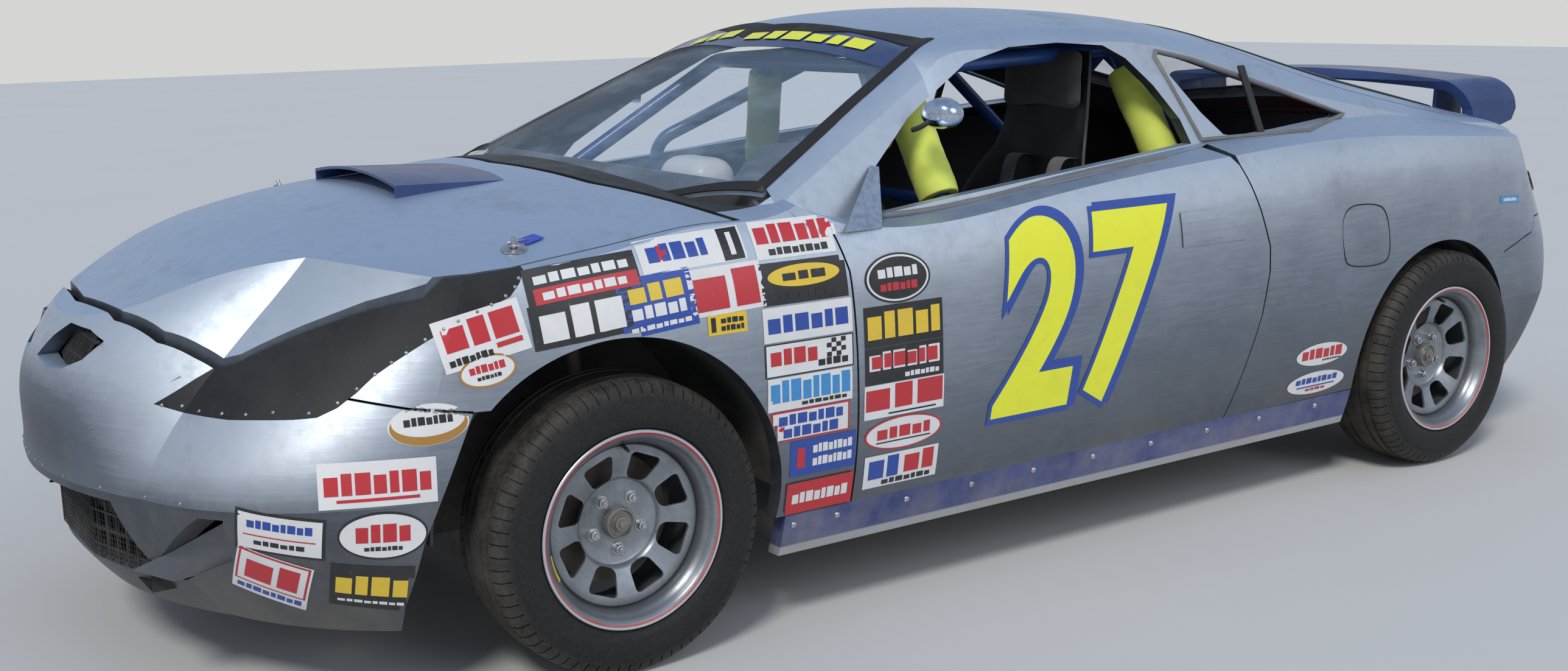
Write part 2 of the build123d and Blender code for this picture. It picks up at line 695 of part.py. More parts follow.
# Front frame: rails, subframe, rack housing, lower arms, wheel tubs and strut towers
FRONT_TUB_INNER = 475.0
FRAME_FRONT = -2010.0
TOWER = (585.0, 90.0, 850.0)
SUBFRAME_Y = FRONT_AXLE - 40
SUBFRAME_Z = 220.0
ARM_BALL_Z = 162.0
with BuildPart() as frame:
    for side in (LEFT, RIGHT):
        with Locations((side * RAIL_X, (FIREWALL_Y - FIREWALL_PLATE + FRAME_FRONT) / 2, RAIL_Z + RAIL_HEIGHT / 2)):
            Box(RAIL_WIDTH, FIREWALL_Y - FIREWALL_PLATE - FRAME_FRONT, RAIL_HEIGHT)
        with BuildSketch(Plane.YZ.offset(side * FRONT_TUB_INNER)):
            with Locations(FRONT_ARCH):
                Circle(FRONT_ARCH_R + TUB_WALL)
        extrude(amount=side * 400)
        with Locations((side * TOWER[0], FRONT_AXLE, TOWER[2] - 88)):
            Cylinder(TOWER[1], 176)
        with BuildSketch(Plane.YZ.offset(side * (FRONT_TUB_INNER + TUB_WALL))):
            with Locations(FRONT_ARCH):
                Circle(FRONT_ARCH_R)
        extrude(amount=side * 400, mode=Mode.SUBTRACT)
        with Locations((side * TOWER[0], FRONT_AXLE, TOWER[2] - 100)):
            Cylinder(TOWER[1] - TUB_WALL, 180, mode=Mode.SUBTRACT)
        with Locations((side * KING_TOP[0], FRONT_AXLE, TOWER[2])):
            Cylinder(20, 40, mode=Mode.SUBTRACT)
        with Locations((side * (FRONT_TUB_INNER + 200), FRONT_AXLE, 165)):
            Box(400, 900, 330, mode=Mode.SUBTRACT)
        with Locations((side * 468, FRONT_AXLE, 340)):
            Box(16, 300, 20)
        with Locations((side * RAIL_X, SUBFRAME_Y - 35, 217)):
            Box(50, 270, 66)
        for back in (-130, 60):
            add(tube([(side * 430, SUBFRAME_Y + back, 205),
                      (side * KING_FOOT[0], FRONT_AXLE, ARM_BALL_Z)], 14))
        with Locations((side * KING_FOOT[0], FRONT_AXLE, ARM_BALL_Z)):
            Cylinder(24, 30)
    with Locations((0, SUBFRAME_Y, SUBFRAME_Z)):
        Box(2 * RAIL_X, 130, 56)
    with Locations((0, FRAME_FRONT + 25, RAIL_Z + RAIL_HEIGHT / 2)):
        Box(2 * RAIL_X, 40, 90)
    with Locations(Location((0, RACK_Y, RACK_Z), (0, 90, 0))):
        Cylinder(RACK_HOUSING_R, RACK_LENGTH)
    with Locations((330, (RACK_Y + SUBFRAME_Y) / 2, RACK_Z), (-330, (RACK_Y + SUBFRAME_Y) / 2, RACK_Z)):
        Box(50, RACK_Y - SUBFRAME_Y, 20)
    with Locations(Location((0, RACK_Y, RACK_Z), (0, 90, 0))):
        Cylinder(RACK_BAR_R + RUNNING, RACK_LENGTH, mode=Mode.SUBTRACT)
    add(inner, mode=Mode.INTERSECT)
save(frame.part, "front_frame")

# Roll cage
hoop_z = CAGE_TOP - TUBE_R - 10
foot = FLOOR_Z + FLOOR_PLATE
sill_x = HOOP_FOOT_X
with BuildPart() as cage:
    add(tube([(sill_x, HOOP_Y, foot), (sill_x, HOOP_Y, 850), (HOOP_TOP_X, HOOP_Y, hoop_z),
              (-HOOP_TOP_X, HOOP_Y, hoop_z), (-sill_x, HOOP_Y, 850), (-sill_x, HOOP_Y, foot)],
             TUBE_R, 80))
    for side in (LEFT, RIGHT):
        add(tube([(side * sill_x, -700, foot), (side * sill_x, -700, 800),
                  (side * 450, -185, 1165), (side * 400, HOOP_Y, hoop_z)], SIDE_R, 80))
        for height in (400, 560):
            add(tube([(side * sill_x, -700, height), (side * sill_x, HOOP_Y, height)], BAR_R))
        add(tube([(side * 380, HOOP_Y, hoop_z - 3), (side * 480, 1555, REAR_FLOOR_Z - 40)], BAR_R))
    add(tube([(sill_x, -255, 400), (sill_x, -255, 850), (482, -255, 1108)], BAR_R, 80))
    add(tube([(-sill_x, -285, 400), (-sill_x, -285, 930), (-425, 190, 1178)], BAR_R, 80))
    add(tube([(-sill_x, 60, 560), (-445, -20, 1168)], BAR_R))
    add(tube([(sill_x, -700, 740), (-sill_x, -700, 740)], BAR_R))
    add(tube([(448, -185, 1165), (-448, -185, 1165)], BAR_R))
    add(tube([(-sill_x, HOOP_Y, 300), (380, HOOP_Y, hoop_z)], BAR_R))
    add(tube([(-sill_x, HOOP_Y, 720), (sill_x, HOOP_Y, 720)], BAR_R))
    with Locations((0, 1500, REAR_FLOOR_Z + FLOOR_PLATE - 100)):
        Box(1200, 400, 200, mode=Mode.SUBTRACT)
save(cage.part, "roll_cage")

# Foam sleeves on the cage beside the driver
PAD_RUNS = [
    ((626, -255, 872), (497, -255, 1084)),
    ((620, HOOP_Y, 880), (458, HOOP_Y, 1131)),
    ((-620, HOOP_Y, 880), (-458, HOOP_Y, 1131)),
    ((-542, 20, 864), (-459, -14, 1125)),
]
with BuildPart() as pads:
    for start, end in PAD_RUNS:
        add(tube([start, end], PAD_R, bore=TUBE_R))
    add(cage, mode=Mode.SUBTRACT)
save(pads.part, "cage_pads")

# Cabin
DRIVER_X = 365.0
COLUMN_R = 24.0
COLUMN_BORE = 12.0
COLUMN_LOW = (DRIVER_X, -650.0, 650.0)
COLUMN_HIGH = (DRIVER_X, -330.0, 770.0)
column_run = Vector(*COLUMN_HIGH) - Vector(*COLUMN_LOW)
column_axis = column_run.normalized()
with BuildPart() as dash:
    with BuildSketch(Plane.YZ.offset(-600)):
        with BuildLine():
            Polyline((-660, 770), (-520, 790), (-425, 760), (-425, 640), (-470, 640), (-520, 700),
                     (-660, 700), close=True)
        make_face()
    extrude(amount=1200)
    fillet(dash.edges().filter_by(Axis.X).group_by(Axis.Z)[-1], 12)
    with Locations((560, -668, 730), (-560, -668, 730)):
        Box(30, 40, 30)
    add(cage, mode=Mode.SUBTRACT)
    with BuildSketch(Plane(origin=COLUMN_LOW, z_dir=column_axis)):
        Circle(COLUMN_R)
    extrude(amount=column_run.length, mode=Mode.SUBTRACT)
save(dash.part, "dashboard")

with BuildPart() as column:
    with BuildSketch(Plane(origin=COLUMN_LOW, z_dir=column_axis)):
        Circle(COLUMN_R)
        Circle(COLUMN_BORE, mode=Mode.SUBTRACT)
    extrude(amount=column_run.length - 40)
save(column.part, "steering_column")

STEERING_WHEEL_R = 180.0
with BuildPart() as steering:
    with BuildSketch(Plane(origin=Vector(*COLUMN_LOW) + column_axis * 12, z_dir=column_axis)):
        Circle(COLUMN_BORE - RUNNING)
    extrude(amount=column_run.length - 20)
    wheel_plane = Plane(origin=COLUMN_HIGH, x_dir=(1, 0, 0), z_dir=column_axis)
    with BuildSketch(wheel_plane.offset(-20)):
        Circle(55)
    extrude(amount=30)
    with BuildSketch(wheel_plane.offset(-6)):
        with PolarLocations(STEERING_WHEEL_R / 2, 3, start_angle=90):
            Rectangle(STEERING_WHEEL_R, 32)
    extrude(amount=8)
    with BuildSketch(Plane(origin=wheel_plane.origin + Vector(STEERING_WHEEL_R, 0, 0),
                           z_dir=wheel_plane.y_dir)):
        Circle(15)
    revolve(axis=Axis(wheel_plane.origin, wheel_plane.z_dir))
save(steering.part, "steering_wheel")

SEAT_HALF = 245.0
SEAT_SHELL = 14.0
SEAT_PROFILE = [(-150, 250), (-170, 300), (-60, 262), (180, 240), (262, 300), (318, 620),
                (318, 1050), (362, 1050), (362, 610), (310, 250), (230, 195), (-140, 215)]
SEAT_SIDE = [(-150, 250), (-160, 390), (150, 400), (250, 620), (290, 850), (362, 850), (362, 610),
             (310, 250), (230, 195), (-140, 215)]
with BuildPart() as seat:
    with BuildSketch(Plane.YZ.offset(DRIVER_X - SEAT_HALF)):
        with BuildLine():
            Polyline(*SEAT_PROFILE, close=True)
        make_face()
    extrude(amount=2 * SEAT_HALF)
    for edge in (DRIVER_X - SEAT_HALF, DRIVER_X + SEAT_HALF - SEAT_SHELL):
        with BuildSketch(Plane.YZ.offset(edge)):
            with BuildLine():
                Polyline(*SEAT_SIDE, close=True)
            make_face()
        extrude(amount=SEAT_SHELL)
    with Locations((DRIVER_X, 340, 1093)):
        Box(300, 44, 106)
    for step in (-1, 1):
        with Locations((DRIVER_X + step * 157, 287, 1093)):
            Box(SEAT_SHELL, 150, 106)
        with Locations((DRIVER_X + step * 180, 50, (foot + 232) / 2)):
            Box(30, 240, 232 - foot)
save(seat.part, "race_seat")

# Engine and running gear under the body
with BuildPart() as engine:
    with Locations((0, FRONT_AXLE - 210, 510)):
        Box(660, 400, 480)
    with Locations((-60, FRONT_AXLE - 210, 765)):
        Box(420, 260, 40)
    chamfer(engine.edges().filter_by(Axis.Z), 30)
save(engine.part, "engine_block")

with BuildPart() as radiator:
    with Locations((0, -1935, 450)):
        Box(620, 40, 200)
    with Locations((295, -1935, 450), (-295, -1935, 450)):
        Box(40, 56, 200)
    with Locations((370, -1935, 450), (-370, -1935, 450)):
        Box(110, 20, 200)
    with Locations((430, -1935, 400), (-430, -1935, 400)):
        Box(20, 20, 100)
save(radiator.part, "radiator")

PIPE_R = 24.0
PIPE_Z = 205.0
with BuildPart() as exhaust:
    add(tube([(60, FRONT_AXLE - 10, 420), (60, FRONT_AXLE + 60, 420), (60, FRONT_AXLE + 60, PIPE_Z - 20),
              (0, -950, PIPE_Z - 20), (0, 900, PIPE_Z), (140, 1100, PIPE_Z + 10),
              (140, 1560, PIPE_Z + 10)], PIPE_R, 34))
    with BuildSketch(Plane.XZ.offset(-1520)):
        with Locations((140, 235)):
            RectangleRounded(190, 110, 45)
    extrude(amount=-240)
    add(tube([(140, 1750, 225), (180, 1860, 215), (250, 1985, 200)], PIPE_R, 60))
save(exhaust.part, "exhaust_pipe")

with BuildPart() as cell:
    with Locations((0, 1790, REAR_FLOOR_Z + FLOOR_PLATE + 130)):
        Box(620, 380, 260)
    fillet(cell.edges().filter_by(Axis.Z), 25)
    with Locations((140, 1790, REAR_FLOOR_Z + FLOOR_PLATE + 275)):
        Cylinder(45, 30)
save(cell.part, "fuel_cell")

# Rear axle: subframe, arms, struts and hub carriers in one welded and bolted unit
with BuildPart() as rear_axle:
    with Locations((0, REAR_AXLE - 190, 290)):
        Box(860, 80, 70)
    for side in (LEFT, RIGHT):
        with Locations((side * 400, REAR_AXLE - 190, 352)):
            Box(60, 60, 76)
        add(tube([(side * 300, REAR_AXLE - 190, 275), (side * 690, REAR_AXLE - 20, 240)], 16))
        add(tube([(side * 300, REAR_AXLE - 190, 300), (side * 690, REAR_AXLE + 60, 250)], 14))
        with Locations((side * 694, REAR_AXLE, 300)):
            Box(36, 150, 190)
        add(tube([(side * 662, REAR_AXLE, 380), (side * 634, REAR_AXLE, 636)], 20))
        with Locations(Location((side * 740, REAR_AXLE, AXLE_Z), (0, 90, 0))):
            Cylinder(HUB_BORE_R - RUNNING, 120)
save(rear_axle.part, "rear_suspension")

TIE_DROP = 22.5
TIE_EYE_X = 650.0
EYE_R = 13.0
with BuildPart() as tie_bar:
    with Locations(Location((0, RACK_Y, RACK_Z), (0, 90, 0))):
        Cylinder(RACK_BAR_R, 1080)
    for side in (LEFT, RIGHT):
        add(tube([(side * 530, RACK_Y, RACK_Z), (side * (TIE_EYE_X - 8), RACK_Y, RACK_Z - TIE_DROP)], 7))
        with Locations((side * TIE_EYE_X, RACK_Y, RACK_Z - TIE_DROP)):
            Cylinder(EYE_R, 18)
save(tie_bar.part, "tie_rods")

king_top = Vector(KING_TOP[0], FRONT_AXLE, KING_TOP[1])
king_foot = Vector(KING_FOOT[0], FRONT_AXLE, KING_FOOT[1])
king_axis = (king_top - king_foot).normalized()
STRUT_STAGES = ((0, 60, 20), (190, 95, 24), (280, 386, 15), (460, 178, 58))
with BuildPart() as knuckle:
    with Locations((690, FRONT_AXLE, AXLE_Z)):
        Box(30, 110, 190)
    for start, length, radius in STRUT_STAGES:
        with BuildSketch(Plane(origin=king_foot + king_axis * start, z_dir=king_axis)):
            Circle(radius)
        extrude(amount=length)
    with Locations((668, FRONT_AXLE + 20, 385)):
        Box(60, 60, 40)
    with Locations((TIE_EYE_X + 6, FRONT_AXLE + 84, RACK_Z + 4)):
        Box(34, 80, 16)
    with Locations((676, FRONT_AXLE + 50, RACK_Z + 4)):
        Box(40, 30, 16)
    with Locations(Location((736, FRONT_AXLE, AXLE_Z), (0, 90, 0))):
        Cylinder(HUB_BORE_R - RUNNING, 90)
save_pair(knuckle.part, "front_knuckle")

# Wing on the hatch: an arched blade whose ends curl down to the deck, on two inner posts
WING_HALF = 605.0
WING_FOOT = 45.0
WING_POST_X = 470.0
with BuildPart() as wing:
    with BuildSketch(Plane.XZ.offset(-1700)):
        with BuildLine():
            ThreePointArc((-535, 1056), (0, 1080), (535, 1056))
            ThreePointArc((535, 1056), (582, 1032), (WING_HALF - 5, 985))
            Polyline((WING_HALF - 5, 985), (WING_HALF, 885), (WING_HALF - WING_FOOT, 885),
                     (WING_HALF - WING_FOOT + 4, 975))
            ThreePointArc((WING_HALF - WING_FOOT + 4, 975), (552, 1008), (520, 1024))
            ThreePointArc((520, 1024), (0, 1047), (-520, 1024))
            ThreePointArc((-520, 1024), (-552, 1008), (-WING_HALF + WING_FOOT - 4, 975))
            Polyline((-WING_HALF + WING_FOOT - 4, 975), (-WING_HALF + WING_FOOT, 885),
                     (-WING_HALF, 885), (-WING_HALF + 5, 985))
            ThreePointArc((-WING_HALF + 5, 985), (-582, 1032), (-535, 1056))
        make_face()
    extrude(amount=-420)
    with BuildSketch(Plane.YZ.offset(-700)):
        with BuildLine():
            ThreePointArc((1785, 1050), (1805, 1078), (1860, 1088))
            ThreePointArc((1860, 1088), (2020, 1058), (2072, 960))
            Polyline((2072, 960), (2050, 926), (1858, 880), (1850, 965), (1785, 1050))
        make_face()
    extrude(amount=1400, mode=Mode.INTERSECT)
    for side in (LEFT, RIGHT):
        with BuildSketch(Plane.YZ.offset(side * WING_POST_X - 7)):
            with BuildLine():
                Polyline((1850, 1035), (1960, 1040), (1985, 880), (1840, 880), close=True)
            make_face()
        extrude(amount=14)
    add(seat_surface, mode=Mode.SUBTRACT)
save(wing.part, "wing")

# Wheels and tyres
def wheel_profile():
    """Half section of the steel wheel, as (radius, distance out from the tyre's middle)."""
    return [(HUB_BORE_R, 3), (95, 3), (112, 22), (150, 24), (166, 2), (RIM_R - 20, 2),
            (RIM_R - 20, -30), (RIM_R - 7, -50), (RIM_R - 7, -90), (RIM_LIP_R, -TYRE_SIDE),
            (RIM_LIP_R, -90), (RIM_R - 2, -85), (RIM_R - 2, -46), (RIM_R - 15, -26),
            (RIM_R - 15, 30), (RIM_R - 2, 50), (RIM_R - 2, 85), (RIM_LIP_R, 90),
            (RIM_LIP_R, TYRE_SIDE), (RIM_R - 7, 90), (RIM_R - 7, 52), (RIM_R - 20, 32),
            (RIM_R - 20, 8), (168, 8), (152, 30), (110, 28), (92, 9), (HUB_BORE_R, 9)]


def tyre_profile():
    """Half section of the tyre, as (radius, distance out from its middle), outer side first."""
    half = TYRE_WIDTH / 2
    outer = [(RIM_R - 2, 84.5), (RIM_LIP_R, 89.5), (RIM_LIP_R + 1, 95), (240, half),
             (268, half - 2), (TYRE_R - 10, 86), (TYRE_R, 70)]
    return outer + [(radius, -out) for radius, out in reversed(outer)]


# One window of the steel wheel, wider at its outer end
WINDOW_MIDDLE_R = 118.0
with BuildSketch() as window:
    with BuildLine():
        Polyline((-22, -22), (22, -33), (22, 33), (-22, 22), close=True)
    make_face()
    fillet(window.vertices(), 10)

for end, axle, lip in (("front", FRONT_AXLE, FRONT_LIP_X), ("rear", REAR_AXLE, REAR_LIP_X)):
    middle = lip - TYRE_SIDE
    half_section = Plane(origin=(middle, axle, AXLE_Z), x_dir=(0, 0, 1), z_dir=(0, 1, 0))
    axis_line = Axis((0, axle, AXLE_Z), (1, 0, 0))
    face = Plane(origin=(middle - 10, axle, AXLE_Z), z_dir=(1, 0, 0))
    with BuildPart() as rim:
        with BuildSketch(half_section):
            with BuildLine():
                Polyline(*wheel_profile(), close=True)
            make_face()
        revolve(axis=axis_line)
        with BuildSketch(face):
            with PolarLocations(WINDOW_MIDDLE_R, WINDOW_COUNT):
                add(window.sketch)
        extrude(amount=60, mode=Mode.SUBTRACT)
        for start, length, outside, bore in ((13, 46, 42, HUB_BORE_R), (59, 6, 42, 0),
                                             (-32, 20, 135, HUB_BORE_R), (-14, 27, 75, HUB_BORE_R)):
            with BuildSketch(face.offset(start)):
                Circle(outside)
                if bore:
                    Circle(bore, mode=Mode.SUBTRACT)
            extrude(amount=length)
        with BuildSketch(face.offset(19)):
            with PolarLocations(LUG_CIRCLE_R + 12, LUG_COUNT, start_angle=90):
                RegularPolygon(11, 6)
        extrude(amount=18)
    save_pair(rim.part, f"{end}_wheel")
    with BuildPart() as tyre:
        with BuildSketch(half_section):
            with BuildLine():
                Polyline(*tyre_profile(), close=True)
            make_face()
        revolve(axis=axis_line)
    save_pair(tyre.part, f"{end}_tyre")
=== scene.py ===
"""Looks for a two-door stock car: stage, materials, and the pieces that the frame leaves to it."""

import json
import math

import bpy
from bpy.props import FloatProperty, FloatVectorProperty, IntProperty, PointerProperty, StringProperty
from mathutils import Euler, Matrix, Vector


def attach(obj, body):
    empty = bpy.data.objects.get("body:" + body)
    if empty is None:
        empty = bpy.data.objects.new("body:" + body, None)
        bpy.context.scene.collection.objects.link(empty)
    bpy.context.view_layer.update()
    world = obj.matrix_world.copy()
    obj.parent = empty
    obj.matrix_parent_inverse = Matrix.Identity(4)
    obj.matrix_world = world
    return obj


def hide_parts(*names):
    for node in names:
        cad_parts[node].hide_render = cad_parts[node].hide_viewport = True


bl_info = {
    "name": "Stock car finish",
    "version": (1, 0, 0),
    "blender": (4, 5, 0),
    "location": "View3D > Sidebar > Stock car",
    "description": "Stage, materials and fine pieces of a two-door stock car",
    "category": "Object",
}

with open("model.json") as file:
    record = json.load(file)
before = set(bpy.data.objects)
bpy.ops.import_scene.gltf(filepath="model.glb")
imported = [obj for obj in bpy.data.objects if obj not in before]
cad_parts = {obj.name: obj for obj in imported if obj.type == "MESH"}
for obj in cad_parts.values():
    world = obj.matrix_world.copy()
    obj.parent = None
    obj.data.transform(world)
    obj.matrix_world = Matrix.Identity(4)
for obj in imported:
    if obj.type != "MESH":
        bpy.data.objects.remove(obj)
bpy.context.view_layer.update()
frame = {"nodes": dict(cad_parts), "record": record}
NODES = frame["nodes"]

FRONT_AXLE_Y = -1.2175
REAR_AXLE_Y = 1.3825
AXLE_Z = 0.305
TYRE_R = 0.305
RIM_EDGE_R = 0.1995
LEFT, RIGHT = 1, -1
SIDES = ((LEFT, "left"), (RIGHT, "right"))
SHELL_NODES = ["nose_bumper", "headlight_covers", "left_fender", "right_fender", "left_door", "right_door",
               "left_quarter", "right_quarter", "roof", "rear_bumper", "hood", "hatch", "cowl",
               "tail_lights", "rocker_panels"]


# Shader maths
class Sock:
    """One socket or number in a material, with the operators that the materials use."""

    def __init__(self, tree, value):
        self.tree = tree
        self.value = value

    def _maths(self, operation, first, second):
        return self.tree.node("ShaderNodeMath", {"operation": operation}, [first, second])

    def __add__(self, other):
        return self._maths("ADD", self, other)

    def __radd__(self, other):
        return self._maths("ADD", other, self)

    def __sub__(self, other):
        return self._maths("SUBTRACT", self, other)

    def __rsub__(self, other):
        return self._maths("SUBTRACT", other, self)

    def __mul__(self, other):
        return self._maths("MULTIPLY", self, other)

    def __rmul__(self, other):
        return self._maths("MULTIPLY", other, self)

    def power(self, other):
        return self._maths("POWER", self, other)

    def absolute(self):
        return self._maths("ABSOLUTE", self, 0.0)


class Finish:
    """A material being built, with its node tree and its shader."""

    def __init__(self, name, colour=(0.5, 0.5, 0.5), roughness=0.5, metallic=0.0, **fixed):
        self.material = bpy.data.materials.new(name)
        self.material.use_nodes = True
        self.nodes = self.material.node_tree.nodes
        self.links = self.material.node_tree.links
        self.nodes.clear()
        self.shader = self.nodes.new("ShaderNodeBsdfPrincipled")
        out = self.nodes.new("ShaderNodeOutputMaterial")
        self.links.new(self.shader.outputs[0], out.inputs[0])
        self.shader.inputs["Base Color"].default_value = (*colour, 1.0)
        self.shader.inputs["Roughness"].default_value = roughness
        self.shader.inputs["Metallic"].default_value = metallic
        for socket, value in fixed.items():
            self.shader.inputs[socket.replace("_", " ")].default_value = value
        self.place = None

    def node(self, kind, settings, values, out=0):
        made = self.nodes.new(kind)
        for name, value in settings.items():
            if name == "stops":
                ramp = made.color_ramp
                for index, (at, colour) in enumerate(value):
                    stop = ramp.elements[index] if index < 2 else ramp.elements.new(at)
                    stop.position = at
                    stop.color = (*colour, 1.0) if len(colour) == 3 else colour
            else:
                setattr(made, name, value)
        items = values.items() if isinstance(values, dict) else enumerate(values)
        for key, value in items:
            if isinstance(value, Sock):
                self.links.new(value.value, made.inputs[key])
            else:
                made.inputs[key].default_value = value
        return Sock(self, made.outputs[out])

    def at(self):
        """The point on the object, in metres."""
        if self.place is None:
            self.place = self.node("ShaderNodeTexCoord", {}, {}, "Object")
        return self.place

    def part(self, letter):
        return self.node("ShaderNodeSeparateXYZ", {}, [self.at()], letter)

    def noise(self, scale, detail=4.0, rough=0.6, stretch=None, distortion=0.0):
        point = self.at()
        if stretch:
            point = self.node("ShaderNodeMapping", {}, {"Vector": point, "Scale": stretch})
        return self.node("ShaderNodeTexNoise", {}, {"Vector": point, "Scale": scale, "Detail": detail,
                                                    "Roughness": rough, "Distortion": distortion})

    def between(self, value, low, high, to_low=0.0, to_high=1.0):
        return self.node("ShaderNodeMapRange", {"clamp": True}, [value, low, high, to_low, to_high])

    def mix(self, mask, first, second):
        """A colour from first to second by the mask."""
        made = self.nodes.new("ShaderNodeMix")
        made.data_type = "RGBA"
        for key, value in ((0, mask), (6, first), (7, second)):
            if isinstance(value, Sock):
                self.links.new(value.value, made.inputs[key])
            elif key == 0:
                made.inputs[key].default_value = value
            else:
                made.inputs[key].default_value = (*value, 1.0)
        return Sock(self, made.outputs[2])

    def bump(self, height, distance, strength=1.0):
        return self.node("ShaderNodeBump", {},
                         {"Strength": strength, "Distance": distance, "Height": height})

    def feed(self, **sockets):
        for name, value in sockets.items():
            self.links.new(value.value, self.shader.inputs[name.replace("_", " ")])
        return self.material


def dusty(made, base, dust, low, high, amount=0.5, scale=3.0):
    """A base colour with dust that gathers between two heights, thicker at the low one."""
    height = made.between(made.part("Z"), low, high, 1.0, 0.0)
    patch = made.between(made.noise(scale, 6.0, 0.7), 0.35, 0.7)
    return made.mix(height * patch * amount, base, dust)


# Bare sheet's painted light by slope: painted shade on surfaces that face down, painted reflections of
# bright surroundings and blue sky on surfaces that face up
SILVER_SLOPE_LIGHT_STOPS = (
    (0.34, (0.10, 0.115, 0.14)), (0.47, (0.19, 0.225, 0.27)), (0.54, (0.37, 0.41, 0.47)),
    (0.62, (0.56, 0.61, 0.67)), (0.78, (0.58, 0.65, 0.73)), (0.92, (0.50, 0.61, 0.76)))
INSIDE_SHADE_COLOUR = (0.035, 0.037, 0.040)


def bare_silver():
    """Unpainted sheet: painted shade and painted sky reflection by slope, painted shade on faces turned
    forward, brushed streaks, grime, dust low down, and painted shade on inside faces.
    """
    made = Finish("bare_silver", metallic=0.85)
    broad = made.noise(1.8, 5.0, 0.62)
    fine = made.noise(26.0, 5.0, 0.7)
    brushed = made.noise(8.0, 5.0, 0.7, stretch=(1.0, 1.0, 16.0))
    facing = made.node("ShaderNodeNewGeometry", {}, [], "Normal")
    lean = made.node("ShaderNodeSeparateXYZ", {}, [facing], "Z")
    out = made.node("ShaderNodeSeparateXYZ", {}, [facing], "X")
    # Painted shade: faces that turn forward are made darker
    front_shade = made.between(made.node("ShaderNodeSeparateXYZ", {}, [facing], "Y"), -1.0, 0.0, 0.30, 0.0)
    # Painted light: slope and forward shade set the tone, with random wear from the broad and brushed noise
    painted_light_and_wear = lean - front_shade + (broad - 0.5) * 0.34 + (brushed - 0.5) * 0.16
    tone = made.node("ShaderNodeValToRGB", {"stops": SILVER_SLOPE_LIGHT_STOPS}, [painted_light_and_wear * 0.5 + 0.5])
    tone = made.mix(made.between(fine, 0.45, 0.75, 0.0, 0.25), tone, (0.30, 0.32, 0.34))
    grime = made.between(made.noise(5.0, 7.0, 0.75), 0.56, 0.74, 0.0, 0.40)
    tone = made.mix(grime, tone, (0.24, 0.23, 0.22))
    tone = dusty(made, tone, (0.25, 0.225, 0.19), 0.16, 0.62, 0.7)
    # Painted shade: faces turned in towards the middle of the car are made near-black
    side = made.node("ShaderNodeMath", {"operation": "SIGN"}, [made.part("X")])
    inside = made.between(out * side, -0.30, -0.12, 0.9, 0.0)
    tone = made.mix(inside, tone, INSIDE_SHADE_COLOUR)
    rough = made.between(broad, 0.25, 0.75, 0.38, 0.54) + made.between(fine, 0.4, 0.8, 0.0, 0.12)
    height = brushed * 0.4 + broad * 3.0
    return made.feed(Base_Color=tone, Roughness=rough, Normal=made.bump(height, 0.0012, 0.35))


def lamp_sheet():
    """Near-black sheet with pale specks, for the headlight covers."""
    made = Finish("lamp_sheet", Specular_IOR_Level=0.3)
    patch = made.noise(6.0, 5.0, 0.65)
    tone = made.mix(made.between(patch, 0.35, 0.7), (0.013, 0.013, 0.015), (0.030, 0.030, 0.032))
    speck = made.between(made.noise(90.0, 3.0, 0.8), 0.66, 0.72, 0.0, 0.20)
    tone = made.mix(speck, tone, (0.22, 0.21, 0.19))
    return made.feed(Base_Color=tone, Roughness=made.between(patch, 0.3, 0.7, 0.42, 0.6))


def gloss_paint(name, colour, dark, roughness=0.28, bare_below=None):
    """Patchy gloss paint with fine scratches, rubbed bare below a height where one is given."""
    made = Finish(name, roughness=roughness, Coat_Weight=0.4, Coat_Roughness=0.12)
    patch = made.noise(7.0, 5.0, 0.65)
    tone = made.mix(made.between(patch, 0.35, 0.7), colour, dark)
    if bare_below:
        bare = made.between(made.part("Z"), bare_below - 0.002, bare_below + 0.002, 1.0, 0.0)
        tone = made.mix(bare, tone, (0.42, 0.43, 0.45))
    scratch = made.between(made.noise(60.0, 3.0, 0.7, stretch=(1, 1, 9)), 0.66, 0.72, 0.0, 0.25)
    tone = made.mix(scratch, tone, (0.45, 0.44, 0.42))
    tone = dusty(made, tone, (0.36, 0.32, 0.27), 0.14, 0.5, 0.6, 6.0)
    return made.feed(Base_Color=tone, Roughness=made.between(patch, 0.3, 0.7, roughness, roughness + 0.2))


def dull_paint(name, colour, dust=(0.30, 0.27, 0.23), amount=0.5, roughness=0.65, metallic=0.0):
    """Flat paint or raw iron with a fine uneven surface and dust."""
    made = Finish(name, metallic=metallic)
    patch = made.noise(11.0, 6.0, 0.7)
    tone = made.mix(made.between(patch, 0.35, 0.75, 0.0, 0.8), colour, tuple(c * 0.55 for c in colour))
    tone = dusty(made, tone, dust, 0.1, 0.9, amount, 5.0)
    rough = made.between(patch, 0.3, 0.7, roughness - 0.1, roughness + 0.15)
    return made.feed(Base_Color=tone, Roughness=rough, Normal=made.bump(patch, 0.001, 0.3))


def clear_sheet():
    """Clear plastic sheet, tinted blue as a painted sky reflection, with wiped, hazy streaks."""
    made = Finish("clear_sheet", (0.80, 0.88, 0.92), 0.04, Alpha=0.22, Specular_IOR_Level=0.7)
    wipe = made.between(made.noise(3.0, 6.0, 0.7, stretch=(1, 1, 3)), 0.48, 0.75, 0.0, 0.4)
    # Painted reflection: the blue base colour stands in for sky seen in the sheet; the wiped streaks are
    # greyer
    return made.feed(Base_Color=made.mix(wipe, (0.42, 0.60, 0.80), (0.62, 0.68, 0.74)),
                     Alpha=made.between(wipe, 0.0, 0.4, 0.11, 0.30),
                     Roughness=made.between(wipe, 0.0, 0.4, 0.03, 0.18))


